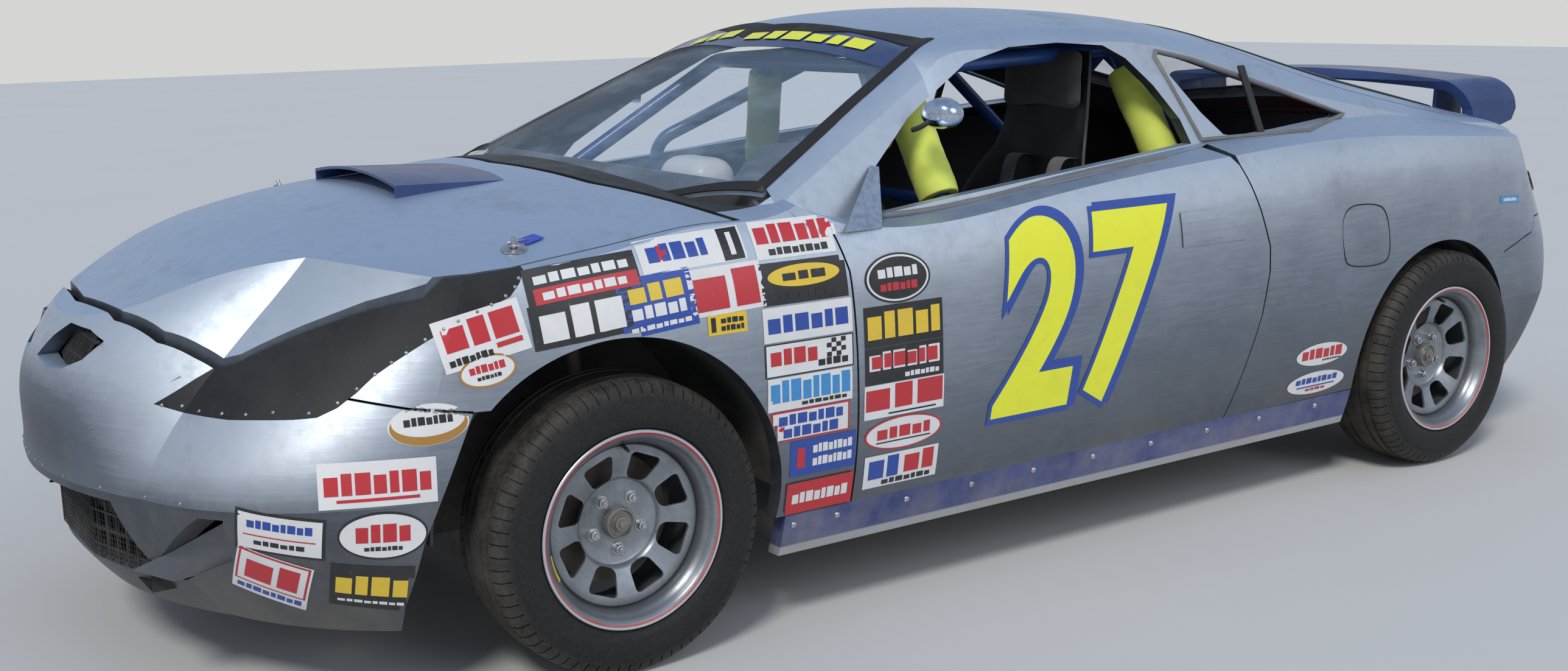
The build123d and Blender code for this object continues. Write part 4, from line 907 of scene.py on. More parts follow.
# Left side stickers. Columns: place along, height, wide, high, lean in degrees, shape, base colour,
# and marks, each (level, colour, kind, then its width, height, place across and up as shares)
W, K, R, B, S, Y, O = ("vinyl_white", "vinyl_black", "vinyl_red", "vinyl_blue", "vinyl_sky", "vinyl_gold",
                       "vinyl_ochre")
STICKERS = [
    (-1.715, 0.476, 0.215, 0.085, -4, "block", W, [
        (1, R, "row7", 0.90, 0.48, 0, 0.02), (1, R, "block", 0.7, 0.07, 0, -0.34)]),
    (-1.878, 0.385, 0.170, 0.085, 0, "block", K, [
        (1, W, "block", 0.93, 0.88, 0, 0), (2, B, "row8", 0.72, 0.20, 0, 0.20),
        (2, R, "block", 0.80, 0.03, 0, -0.08), (2, K, "row6", 0.56, 0.12, 0, -0.25)]),
    (-1.712, 0.375, 0.165, 0.096, 0, "oval", K, [
        (1, W, "oval", 0.95, 0.91, 0, 0), (2, R, "row4", 0.60, 0.38, 0, 0.06),
        (2, K, "row7", 0.42, 0.09, 0, -0.26)]),
    (-1.884, 0.288, 0.148, 0.115, 0, "block", W, [
        (1, R, "block", 0.94, 0.72, 0, 0.12), (2, W, "block", 0.88, 0.65, 0, 0.12),
        (3, R, "row2", 0.70, 0.48, 0, 0.12), (1, B, "row8", 0.86, 0.12, 0, -0.36)]),
    (-1.730, 0.269, 0.154, 0.098, 0, "block", K, [
        (1, Y, "row4", 0.86, 0.44, 0, 0.04), (1, W, "row8", 0.80, 0.07, 0, -0.34)]),
    (-1.615, 0.575, 0.150, 0.078, 0, "oval", W, [
        (1, O, "oval", 0.96, 0.94, 0, -0.02), (2, W, "oval", 0.90, 0.76, 0.0, 0.10),
        (3, K, "row7", 0.60, 0.20, 0, 0.10)]),
    (-1.500, 0.665, 0.110, 0.062, 8, "oval", O, [
        (1, W, "oval", 0.92, 0.86, 0, 0), (2, R, "row6", 0.62, 0.24, 0, 0.10),
        (2, K, "row6", 0.42, 0.12, 0, -0.18)]),
    (-1.503, 0.730, 0.168, 0.100, 10, "block", W, [
        (1, R, "row3", 0.84, 0.52, 0, 0.12), (1, K, "row7", 0.50, 0.14, -0.18, -0.34),
        (1, R, "block", 0.30, 0.10, 0.28, -0.26)]),
    (-1.297, 0.819, 0.235, 0.078, 3, "block", K, [
        (1, W, "row7", 0.84, 0.24, 0, 0.20), (1, R, "block", 0.92, 0.40, 0.02, -0.22),
        (2, W, "row7", 0.74, 0.22, 0, -0.22)]),
    (-1.311, 0.744, 0.208, 0.085, 4, "block", K, [
        (1, W, "row3", 0.82, 0.72, 0, 0.0)]),
    (-1.150, 0.759, 0.170, 0.115, 4, "block", B, [
        (1, Y, "row3", 0.72, 0.30, 0, 0.20), (1, W, "row5", 0.72, 0.22, 0, -0.12),
        (1, W, "row8", 0.80, 0.08, 0, -0.38)]),
    (-1.050, 0.850, 0.245, 0.075, 2, "block", W, [
        (1, B, "row5", 0.56, 0.50, -0.14, 0.04), (1, K, "block", 0.20, 0.94, 0.38, 0),
        (2, W, "block", 0.05, 0.66, 0.38, 0), (1, R, "block", 0.08, 0.42, -0.28, 0.04)]),
    (-0.990, 0.768, 0.176, 0.096, 2, "block", W, [
        (1, R, "row2", 0.86, 0.80, 0, 0)]),
    (-0.997, 0.700, 0.093, 0.042, 0, "block", Y, [
        (1, K, "row4", 0.58, 0.26, 0.12, 0.16), (1, K, "row5", 0.58, 0.26, 0.12, -0.20),
        (1, K, "block", 0.12, 0.70, -0.36, 0)]),
    (-0.800, 0.853, 0.210, 0.085, 0, "block", W, [
        (1, R, "row6", 0.92, 0.50, 0, 0.14), (1, K, "row8", 0.70, 0.18, 0, -0.32)]),
    (-0.800, 0.765, 0.215, 0.088, 0, "block", K, [
        (1, Y, "oval", 0.84, 0.52, 0, 0.14), (2, K, "row3", 0.50, 0.20, 0, 0.14),
        (1, Y, "block", 0.94, 0.26, 0, -0.32), (2, K, "row8", 0.84, 0.14, 0, -0.32)]),
    (-0.800, 0.682, 0.225, 0.072, 0, "block", W, [
        (1, B, "row6", 0.90, 0.50, 0, 0)]),
    (-0.800, 0.608, 0.225, 0.070, 0, "block", K, [
        (1, W, "block", 0.97, 0.92, 0, 0), (2, R, "row4", 0.52, 0.48, -0.18, 0.08),
        (2, K, "row4", 0.34, 0.22, 0.26, -0.24), (2, K, "check", 0.22, 0.56, 0.30, 0.16)]),
    (-0.800, 0.536, 0.215, 0.070, 0, "block", W, [
        (1, S, "row8", 0.94, 0.66, 0, 0.08), (1, K, "row7", 0.54, 0.12, 0.16, -0.36)]),
    (-0.800, 0.466, 0.200, 0.066, 0, "block", R, [
        (1, W, "block", 0.96, 0.88, 0, 0), (2, B, "row7", 0.82, 0.34, 0, 0.20),
        (2, B, "row6", 0.70, 0.34, 0, -0.22)]),
    (-0.766, 0.390, 0.170, 0.080, 0, "block", B, [
        (1, W, "row8", 0.60, 0.24, 0.14, 0.20), (1, W, "row8", 0.60, 0.24, 0.14, -0.16),
        (1, R, "block", 0.12, 0.56, -0.34, 0)]),
    (-0.768, 0.300, 0.180, 0.078, 0, "block", K, [
        (1, R, "block", 0.96, 0.92, 0, 0), (2, W, "row8", 0.80, 0.32, 0, 0)]),
    (-0.559, 0.745, 0.178, 0.108, 0, "oval", K, [
        (1, W, "oval", 0.94, 0.92, 0, 0), (2, K, "oval", 0.88, 0.84, 0, 0),
        (3, W, "row5", 0.60, 0.20, 0, 0.12), (3, R, "row6", 0.56, 0.16, 0, -0.16)]),
    (-0.550, 0.646, 0.215, 0.088, 0, "block", K, [
        (1, Y, "row5", 0.92, 0.66, 0, 0.02)]),
    (-0.550, 0.561, 0.215, 0.080, 0, "block", K, [
        (1, W, "row6", 0.90, 0.50, 0, 0.12), (2, R, "row6", 0.84, 0.38, 0, 0.12),
        (1, W, "row7", 0.44, 0.14, 0.22, -0.34)]),
    (-0.550, 0.482, 0.220, 0.075, 0, "block", W, [
        (1, R, "row3", 0.96, 0.72, 0, 0.10), (1, K, "block", 0.6, 0.05, 0.1, -0.40)]),
    (-0.550, 0.404, 0.215, 0.076, 0, "oval", R, [
        (1, W, "oval", 0.95, 0.90, 0, 0), (2, R, "row5", 0.68, 0.34, 0, 0.04),
        (2, K, "block", 0.70, 0.04, 0, -0.22)]),
    (-0.550, 0.322, 0.205, 0.076, 0, "block", W, [
        (1, B, "row2", 0.40, 0.66, -0.24, 0.10), (1, R, "row2", 0.40, 0.62, 0.24, 0.12),
        (1, K, "row7", 0.66, 0.16, 0.08, -0.36)]),
    (0.863, 0.386, 0.205, 0.060, 0, "oval", W, [
        (1, R, "row6", 0.78, 0.46, 0, 0.06), (1, K, "row8", 0.36, 0.08, 0.20, -0.28)]),
    (0.857, 0.308, 0.230, 0.062, 0, "oval", W, [
        (1, B, "row8", 0.72, 0.26, 0, 0.14), (1, B, "block", 0.66, 0.06, 0, -0.14),
        (1, R, "row4", 0.34, 0.12, 0, -0.28)]),
    (1.697, 0.727, 0.110, 0.022, -3, "block", S, [
        (1, W, "row7", 0.7, 0.4, 0, 0)]),
]


class CAR_OT_stickers(bpy.types.Operator):
    """Plain blocks of colour where the stickers are, one piece a colour and side"""
    bl_idname = "stock_car.stickers"
    bl_label = "Stickers"

    def execute(self, context):
        laid = {}
        for along, up, wide, high, lean, shape, base, marks in STICKERS:
            place, normal = on_side(LEFT, along, up)
            for (level, colour), blocks in sticker_sheets(shape, base, wide, high, marks).items():
                sheet = flat_piece(blocks, "sheet")
                lay(sheet, place, normal, (0, 1, 0), level, math.radians(lean))
                laid.setdefault(colour, []).append(sheet)
        for colour, pieces in laid.items():
            name = colour.replace("vinyl", "stickers")
            made = name_it(trim_loose(join(pieces, name + "_left")), name + "_left", colour)
            show(made, "car_body")
            show(name_it(mirrored(made, name + "_right"), name + "_right", colour), "car_body")
        return {"FINISHED"}


NUMBER_LEAN = 0.18
NUMBER_SLICE = 0.03
FACE_WEIGHT, EDGE_WEIGHT = 0.030, 0.052
SHADOW_SHIFT = (0.018, 0.008)


class CAR_OT_numbers(bpy.types.Operator):
    """The race number on both doors: yellow on a blue edge and a blue shadow"""
    bl_idname = "stock_car.numbers"
    bl_label = "Numbers"

    def digits(self, text, weight, high, wide):
        clear_selection()
        bpy.ops.object.text_add(location=(0, 0, 0))
        piece = bpy.context.object
        piece.data.body = text
        piece.data.align_x = "CENTER"
        piece.data.align_y = "CENTER"
        piece.data.offset = weight
        piece.data.shear = NUMBER_LEAN
        piece.data.space_character = 1.08
        pick(piece)
        bpy.ops.object.convert(target="MESH")
        piece = bpy.context.object
        if "scale" not in self.fitted:
            xs = [v.co.x for v in piece.data.vertices]
            ys = [v.co.y for v in piece.data.vertices]
            self.fitted["scale"] = (wide / (max(xs) - min(xs)), high / (max(ys) - min(ys)))
            self.fitted["middle"] = ((max(xs) + min(xs)) / 2, (max(ys) + min(ys)) / 2)
        (kx, ky), (mx, my) = self.fitted["scale"], self.fitted["middle"]
        piece.matrix_world = Matrix.Diagonal((kx, ky, 1, 1)) @ Matrix.Translation((-mx, -my, 0))
        settle(piece)
        cuts = [((x * NUMBER_SLICE, 0, 0), (1, 0, 0)) for x in range(-12, 13)]
        cuts += [((0, y * NUMBER_SLICE, 0), (0, 1, 0)) for y in range(-9, 10)]
        return slice_all(piece, cuts)

    def execute(self, context):
        s = context.scene.stock_car_trim
        self.fitted = {}
        layers = [(name, self.digits(s.race_number, weight, s.number_height, s.number_width), level, colour,
                   shift)
                  for name, weight, level, colour, shift in (
                      ("number_face", FACE_WEIGHT, 2, "vinyl_yellow", (0, 0)),
                      ("number_edge", EDGE_WEIGHT, 1, "vinyl_blue", (0, 0)),
                      ("number_shadow", EDGE_WEIGHT, 0, "vinyl_blue", SHADOW_SHIFT))]
        for side, word in SIDES:
            place, normal = on_side(side, s.number_place[0], s.number_place[1])
            for name, sheet, level, colour, shift in layers:
                copy = name_it(twin(sheet, f"{word}_{name}"), f"{word}_{name}", colour)
                lay(copy, place, normal, (0, side, 0), level, 0.0, shift)
                show(copy, "car_body")
        for _, sheet, *_ in layers:
            bpy.data.objects.remove(sheet)
        return {"FINISHED"}


# Rivets, on the left and mirrored: on the nose ledge (across, along), round the lamp cover (across,
# along, up), along the rocker (along), and on the door patch (along, up, wide, high)
LEDGE_RIVETS = [(0.032, -2.166), (0.085, -2.163), (0.198, -2.146), (0.332, -2.107), (0.452, -2.052),
                (0.542, -2.009)]
LAMP_RIVETS = [(0.415, -2.00, 0.600), (0.445, -1.97, 0.600), (0.485, -1.95, 0.595), (0.535, -1.92, 0.594),
               (0.580, -1.89, 0.597), (0.620, -1.85, 0.602), (0.672, -1.80, 0.603), (0.700, -1.755, 0.622),
               (0.710, -1.72, 0.645), (0.717, -1.685, 0.668), (0.727, -1.655, 0.688), (0.738, -1.63, 0.705),
               (0.752, -1.597, 0.728), (0.768, -1.565, 0.746), (0.779, -1.54, 0.760),
               (0.789, -1.505, 0.775), (0.795, -1.478, 0.786), (0.799, -1.45, 0.800),
               (0.799, -1.43, 0.815), (0.795, -1.42, 0.830)]
ROCKER_BOLTS = [-0.825, -0.71, -0.518, -0.328, -0.137, 0.057, 0.255, 0.458, 0.657, 0.880]
PATCH_PLACE = (0.43, 0.766, 0.225, 0.085)
ROCKER_BOLT_HEIGHT = 0.236
LEDGE_HEIGHT = 0.436
PATCH_RIVET_STEP, PATCH_RIVET_EDGE = 0.225, 0.36


class CAR_OT_rivets(bpy.types.Operator):
    """Rivet heads along the seams, the lamp covers, the nose ledge and the patches"""
    bl_idname = "stock_car.rivets"
    bl_label = "Rivets"

    def execute(self, context):
        s = context.scene.stock_car_trim
        spots = []
        for side, _ in SIDES:
            for across, along in LEDGE_RIVETS:
                place, normal = hit((side * across, along - 0.4, LEDGE_HEIGHT), (0, 1, 0))
                spots.append((place, normal))
            for across, along, up in LAMP_RIVETS:
                spots.append(near_body((side * across, along, up)))
            along, up, wide, high = PATCH_PLACE
            for k in range(5):
                for edge in (-1, 1):
                    spots.append(on_side(side, along + wide * (k - 2) * PATCH_RIVET_STEP,
                                         up + edge * high * PATCH_RIVET_EDGE))
        dome_field("rivets", spots, s.rivet_radius, s.rivet_radius * 0.45, "rivet_metal", "car_body")
        bolts = [on_side(side, along, ROCKER_BOLT_HEIGHT) for side, _ in SIDES for along in ROCKER_BOLTS]
        dome_field("rocker_bolts", bolts, 0.0085, 0.0045, "bright_steel", "car_body")
        return {"FINISHED"}


# Glass, seals and the window edges
SCREEN_EDGE = [(0, -1.150), (0.420, -1.100), (0.700, -0.800), (0.505, -0.172), (0.300, -0.245), (0, -0.290)]
REAR_GLASS_EDGE = [(0, 0.880), (0.410, 0.880), (0.505, 1.300), (0.545, 1.720), (0.300, 1.775), (0, 1.790)]
SCREEN_BAND_Y, SCREEN_BAND_SLANT = -0.415, 0.13
# Blocks in a row, its width, and its middle (across, along)
SCREEN_MARKS = [(3, 0.20, -0.19, -0.342), (6, 0.44, 0.20, -0.325)]
SILL_X = 0.738
SILL_Y = (-0.54, -0.40, -0.20, 0.0, 0.20, 0.38)
QUARTER_RIM = [(0.500, 1.163), (0.512, 1.177), (0.645, 1.142), (0.930, 1.059), (1.130, 0.997),
               (1.136, 0.990), (0.905, 0.978), (0.56, 0.960), (0.510, 0.990)]
BRACE_PLACE = (0.80, 0.955)
BRACE_INSET = 0.055
BRACE_LEAN = 24
HOOD_FRONT = [(0.0, -2.042), (0.12, -2.036), (0.23, -2.020), (0.345, -1.974), (0.40, -1.935)]


def glass_border(node, edge, width, name, thick):
    """A rubber border cut from a copy of the glass along a line inside its outline."""
    piece = node_copy(node, name)
    centre = Vector((0, sum(y for _, y in edge) / len(edge), 0))
    cuts, tests = [], []
    for side in (LEFT, RIGHT):
        for (xa, ya), (xb, yb) in zip(edge, edge[1:]):
            run = Vector((side * (xb - xa), yb - ya, 0)).normalized()
            into = Vector((-run.y, run.x, 0))
            if into.dot(centre - Vector((side * (xa + xb) / 2, (ya + yb) / 2, 0))) < 0:
                into = -into
            point = Vector((side * xa, ya, 0)) + into * width
            cuts.append((tuple(point), tuple(into)))
            tests.append((side, point, into))
    slice_all(piece, cuts)

    def in_border(place, normal):
        flat = Vector((place.x, place.y, 0))
        return normal.z > 0.15 and any(side * place.x > -0.001 and (flat - point).dot(into) < 0
                                       for side, point, into in tests)

    keep_faces(piece, in_border)
    modifier(piece, "SOLIDIFY", thickness=thick, offset=1.0)
    return smooth(name_it(piece, name, "seal_black"), 40)


def middle_of(outline):
    """The mean of an outline's flat points."""
    return Vector([sum(part) / len(outline) for part in zip(*outline)])


def surface_line(points, gap, side=None):
    """Points standing just off the body: (across, along) from above, or (along, up) from a side."""
    found = []
    for a, b in points:
        place, normal = on_top(a, b) if side is None else on_side(side, a, b)
        found.append(tuple(place + normal * gap))
    return found


class CAR_OT_glass(bpy.types.Operator):
    """Screen band, marks and borders, the hood's front seal, sill strips, and quarter window seals and
    braces
    """
    bl_idname = "stock_car.glass"
    bl_label = "Glass and seals"

    def execute(self, context):
        show(glass_border("windshield", SCREEN_EDGE, 0.024, "screen_seal", 0.003), "car_body")
        show(glass_border("rear_glass", REAR_GLASS_EDGE, 0.022, "rear_glass_seal", 0.003), "hatch_panel")
        band = node_copy("windshield", "screen_band")
        slice_all(band, [((0, SCREEN_BAND_Y, 1.0), (slant, 1, 0.0))
                         for slant in (-SCREEN_BAND_SLANT, SCREEN_BAND_SLANT)])
        keep_faces(band, lambda centre, normal: normal.z > 0.15 and centre.y > SCREEN_BAND_Y
                   + SCREEN_BAND_SLANT * abs(centre.x))
        modifier(band, "SOLIDIFY", thickness=0.0012, offset=1.0)
        marks = []
        for count, wide, across, along in SCREEN_MARKS:
            row = flat_piece(mark_blocks(f"row{count}", wide, 0.046, 0, 0), "marks")
            lay(row, (across, along, 1.225), (0, -0.36, 0.93), (1, 0.10, 0.04), 4, target=band)
            marks.append(row)
        show(smooth(name_it(band, "screen_band", "band_blue"), 40), "car_body")
        show(name_it(join(marks, "screen_marks"), "screen_marks", "vinyl_yellow"), "car_body")
        edge = [(-x, y) for x, y in HOOD_FRONT[::-1]] + HOOD_FRONT[1:]
        show(rod("hood_front_seal", surface_line(edge, 0.001), 0.0062, "seal_black", 4), "car_body")
        for side, word in SIDES:
            sill = [tuple(on_top(side * SILL_X, y)[0]) for y in SILL_Y]
            show(rod(f"{word}_sill_strip", sill, 0.0075, "seal_grey", 6), "car_body")
            bead = rod(f"{word}_quarter_seal", self.side_points(QUARTER_RIM, side), 0.007, "seal_grey",
                       cyclic=True)
            show(bead, "car_body")
            along, up = BRACE_PLACE
            place, _ = on_side(side, along, up)
            brace = box_piece(f"{word}_window_brace", (-0.004, -0.012, 0.0), (0.004, 0.012, 0.20),
                              "black_metal", 0.002)
            lean = Matrix.Rotation(math.radians(-side * BRACE_LEAN), 4, "Y")
            placed(brace, (side * (abs(place.x) - BRACE_INSET), along, up), lean)
            show(brace, "car_body")
        return {"FINISHED"}

    def side_points(self, outline, side):
        """The window's outline on the pillars round it, a little outside its cut edge."""
        middle = middle_of(outline)
        points = []
        for y, z in outline:
            for grow in (1.0, 1.06, 1.12, 1.2, 1.3):
                at = middle + (Vector((y, z)) - middle) * grow
                found, place, normal, _ = SHELL["object"].ray_cast((side * 1.4, at.x, at.y), (-side, 0, 0))
                if found and side * place.x > 0.45 and side * normal.x > 0.2:
                    points.append(tuple(place + normal * 0.001))
                    break
        return points


# Fittings: turned profiles are (distance out, radius), places are on the left and mirrored
MIRROR_SHELL = [(-0.034, 0.004), (-0.033, 0.020), (-0.026, 0.036), (-0.012, 0.046), (0.010, 0.050),
                (0.014, 0.050), (0.014, 0.046), (0.008, 0.045), (0.008, 0.004)]
MIRROR_FACE = [(0.0085, 0.0445), (0.0095, 0.043), (0.0095, 0.004)]
MIRROR_PLACE = (0.705, -0.315, 1.075)
MIRROR_STALK = [(0.700, -0.330, 1.070), (0.700, -0.365, 1.045), (0.672, -0.372, 1.040)]
MIRROR_LOOK = 22
PIN_PLACE, TAB_PLACE = (0.70, -1.383), (0.675, -1.335)
PIN_PLATE = [(0.0006, 0.026), (0.0030, 0.0255), (0.0036, 0.024), (0.0036, 0.0085), (0.0010, 0.0080)]
PIN = [(0.000, 0.0050), (0.022, 0.0050), (0.026, 0.0036), (0.027, 0.0016)]
CLIP_HEIGHT, CLIP_RING, CLIP_SHIFT = 0.012, 0.017, 0.010
WINDOW_PLATE_CORNERS = [(-0.684, 0.852), (-0.576, 0.850), (-0.490, 0.966), (-0.512, 0.970)]
FUEL_DOOR_EDGE = [(0.915, 0.773), (1.067, 0.771), (1.109, 0.740), (1.124, 0.622), (1.081, 0.602),
                  (0.953, 0.609), (0.926, 0.634)]
LAMP_LENS_PLACE = (1.93, 0.755)
TAIL_PLATE_HEIGHT = 0.50


def window_plane(along, up):
    """How far out the door window's plane stands."""
    return 1.600 - 0.109 * along - 0.988 * up


class CAR_OT_fittings(bpy.types.Operator):
    """Mirrors, hood pins, riveted patches, window plates, fuel door and tail details"""
    bl_idname = "stock_car.fittings"
    bl_label = "Fittings"

    def mirror(self, side, word):
        shell = turned(f"{word}_mirror", MIRROR_SHELL, "mirror_shell", 40, capped=True)
        face = turned(f"{word}_mirror_face", MIRROR_FACE, "mirror_face", 40, capped=True)
        flat = Matrix.Diagonal((1, 1, 0.72, 1))
        look = Matrix.Rotation(math.radians(90 + side * MIRROR_LOOK), 4, "Z")
        place = on_both(side, MIRROR_PLACE)
        for piece in (shell, face):
            piece.matrix_world = flat @ piece.matrix_world
            placed(settle(piece), place, look)
            show(smooth(piece, 35), "car_body")
        stalk = [on_both(side, point) for point in MIRROR_STALK]
        show(rod(f"{word}_mirror_stalk", stalk, 0.006, "black_metal", 6), "car_body")

    def hood_pin(self, side, word):
        place, normal = on_top(side * PIN_PLACE[0], PIN_PLACE[1])
        upright = pointing(normal) @ Matrix.Rotation(-math.pi / 2, 4, "Y")
        plate = turned(f"{word}_pin_plate", PIN_PLATE, "bright_steel", 28, capped=True)
        pin = turned(f"{word}_pin", PIN, "bright_steel", 16, capped=True)
        for piece in (plate, pin):
            placed(piece, place, upright)
            show(smooth(piece, 35), "hood_panel")
        clip_at = place + normal * CLIP_HEIGHT
        loop = [tuple(clip_at + Vector((CLIP_RING * math.cos(a) + CLIP_SHIFT, CLIP_RING * math.sin(a), 0)))
                for a in [k * math.tau / 10 for k in range(10)]]
        show(rod(f"{word}_pin_clip", loop, 0.0013, "bright_steel", 4, cyclic=True), "hood_panel")
        tab_at, tab_normal = on_top(side * TAB_PLACE[0], TAB_PLACE[1])
        tab = patch(0.030, 0.046)
        lay(tab, tab_at, tab_normal, (1, 0.3, 0), 3)
        modifier(tab, "SOLIDIFY", thickness=0.0018, offset=1.0)
        show(name_it(tab, f"{word}_lanyard_tab", "pin_blue"), "hood_panel")
        line = [tuple(clip_at + Vector((CLIP_RING + CLIP_SHIFT, 0, 0)) * -side),
                tuple((place + tab_at) / 2 + normal * CLIP_HEIGHT), tuple(tab_at + tab_normal * 0.003)]
        show(rod(f"{word}_lanyard", line, 0.0011, "bright_steel", 6), "hood_panel")

    def execute(self, context):
        along, up, wide, high = PATCH_PLACE
        for side, word in SIDES:
            self.mirror(side, word)
            self.hood_pin(side, word)
            sheet = patch(wide, high)
            lay(sheet, *on_side(side, along, up), (0, 1, 0), 1)
            modifier(sheet, "SOLIDIFY", thickness=0.0014, offset=1.0)
            show(name_it(sheet, f"{word}_door_patch", "bare_silver"), "car_body")
            self.window_plate(side, word)
            if side == LEFT:
                self.fuel_door(side)
            lamp = patch(0.115, 0.060, "oval")
            lay(lamp, *on_side(side, *LAMP_LENS_PLACE), (0, 1, 0), 2)
            modifier(lamp, "SOLIDIFY", thickness=0.004, offset=1.0)
            show(name_it(lamp, f"{word}_lamp_lens", "lamp_red"), "car_body")
        plate = patch(0.44, 0.11)
        place, normal = hit((0, 3.0, TAIL_PLATE_HEIGHT), (0, -1, 0))
        lay(plate, place, normal, (-1, 0, 0), 2)
        modifier(plate, "SOLIDIFY", thickness=0.0014, offset=1.0)
        show(name_it(plate, "blank_plate", "vinyl_white"), "car_body")
        return {"FINISHED"}

    def window_plate(self, side, word):
        """The riveted sheet in the front corner of the door window."""
        clear_selection()
        bpy.ops.mesh.primitive_grid_add(x_subdivisions=8, y_subdivisions=8, size=1.0)
        sheet = bpy.context.object
        front_low, rear_low, rear_high, front_high = [Vector(corner) for corner in WINDOW_PLATE_CORNERS]
        for vertex in sheet.data.vertices:
            u, v = vertex.co.x + 0.5, vertex.co.y + 0.5
            at = front_low.lerp(rear_low, u).lerp(front_high.lerp(rear_high, u), v)
            vertex.co = Vector((side * window_plane(at.x, at.y), at.x, at.y))
        modifier(sheet, "SOLIDIFY", thickness=0.002, offset=side)
        outward(sheet)
        show(name_it(sheet, f"{word}_window_plate", "plate_silver"), "car_body")

    def fuel_door(self, side):
        """The scribed outline of the fuel door."""
        line = rod("fuel_door_seam", surface_line(FUEL_DOOR_EDGE, 0.0002, side), 0.0019, "seal_black", 6,
                   cyclic=True)
        show(line, "car_body")


# Wheels and tyres
WHEEL_SPOTS = [(side, f"{word}_{end}_wheel", (side * (lip - 0.095), axle, AXLE_Z))
               for end, axle, lip in (("front", FRONT_AXLE_Y, 0.848), ("rear", REAR_AXLE_Y, 0.880))
               for side, word in SIDES]
# Turned profiles are (distance out, radius) from the wheel's middle
TYRE_HALF = [
    (0.0840, 0.1890), (0.0895, 0.2075), (0.0915, 0.2082), (0.0960, 0.2110), (0.0975, 0.2150),
    (0.0985, 0.2160), (0.1008, 0.2230), (0.1022, 0.2350), (0.1025, 0.2460), (0.1018, 0.2580),
    (0.1006, 0.2640), (0.0998, 0.2644), (0.0990, 0.2700), (0.0962, 0.2790), (0.0915, 0.2880),
    (0.0860, 0.2945), (0.0780, 0.2995), (0.0685, 0.3025), (0.0600, 0.3035), (0.0592, 0.2992),
    (0.0520, 0.2992), (0.0512, 0.3038), (0.0320, 0.3046), (0.0312, 0.2995), (0.0235, 0.2995),
    (0.0227, 0.3048), (0.0060, 0.3049)]
RIM_FRONT = [
    (0.0150, 0.0300), (0.0150, 0.0840), (0.0180, 0.0890), (0.0285, 0.0930), (0.0320, 0.0980),
    (0.0490, 0.1480), (0.0520, 0.1590), (0.0510, 0.1660), (0.0460, 0.1710), (0.0540, 0.1725),
    (0.0650, 0.1745), (0.0720, 0.1805), (0.0780, 0.1855), (0.0850, 0.1880), (0.0895, 0.1925),
    (0.0930, 0.1970), (0.0946, 0.2005), (0.0946, 0.2035), (0.0930, 0.2052), (0.0905, 0.2052)]
RIM_BACK = [
    (0.0860, 0.1885), (0.0520, 0.1885), (0.0320, 0.1755), (-0.0260, 0.1755), (-0.0460, 0.1885),
    (-0.0850, 0.1885), (-0.0905, 0.2052), (-0.0946, 0.2052), (-0.0900, 0.1840), (-0.0520, 0.1840),
    (-0.0320, 0.1705), (0.0340, 0.1690), (0.0455, 0.1600), (0.0430, 0.1480), (0.0260, 0.0980),
    (0.0100, 0.0890), (0.0080, 0.0300)]
NUT = [(0.0150, 0.0145), (0.0172, 0.0140), (0.0174, 0.0108), (0.0290, 0.0104), (0.0302, 0.0088),
       (0.0302, 0.0062), (0.0280, 0.0060), (0.0280, 0.0052), (0.0320, 0.0050), (0.0325, 0.0034)]
# Name, profile, finish, steps round, and whether its ends are closed
TRIM_RINGS = [
    ("rim_line", [(0.0919, 0.1946), (0.0937, 0.1971), (0.0945, 0.1988), (0.0937, 0.1991), (0.0925, 0.1972),
                  (0.0909, 0.1950), (0.0919, 0.1946)], "line_red", 96, False),
    ("hub_ring", [(0.0140, 0.0340), (0.0300, 0.0335), (0.0345, 0.0315), (0.0350, 0.0285), (0.0310, 0.0265),
                  (0.0292, 0.0250), (0.0292, 0.0200), (0.0310, 0.0190), (0.0320, 0.0185), (0.0320, 0.0160),
                  (0.0400, 0.0150), (0.0405, 0.0120), (0.0405, 0.0085), (0.0450, 0.0080), (0.0455, 0.0050)],
     "cap_dust", 28, True),
    ("brake_disc", [(-0.0420, 0.0310), (-0.0420, 0.1345), (-0.0220, 0.1345), (-0.0220, 0.0750),
                    (0.0030, 0.0740), (0.0075, 0.0700), (0.0075, 0.0310), (-0.0420, 0.0310)],
     "knuckle_iron", 64, False),
    ("valve", [(0.0, 0.0042), (0.018, 0.0040), (0.020, 0.0034), (0.028, 0.0034), (0.029, 0.0026)],
     "black_metal", 12, True),
    ("wheel_tag", [(0.0655, 0.1741), (0.0715, 0.1793), (0.0718, 0.1800), (0.0655, 0.1746),
                   (0.0655, 0.1741)], "vinyl_gold", 96, False)]
NUTS, NUT_CIRCLE_R = 5, 0.05715
WINDOWS = 8
WINDOW_PLACE, WINDOW_SIZE = (0.040, 0, 0.121), (0.060, 0.074, 0.056)
WINDOW_NARROW, WINDOW_ROUND = 0.60, 0.0125
VALVE_PLACE, VALVE_LEAN = (0.050, 0.0, 0.168), 16
SHOULDER_R, TREAD_HALF = 0.2785, 0.0605
GROOVE_WIDE, GROOVE_DEEP = 0.0016, 0.0034


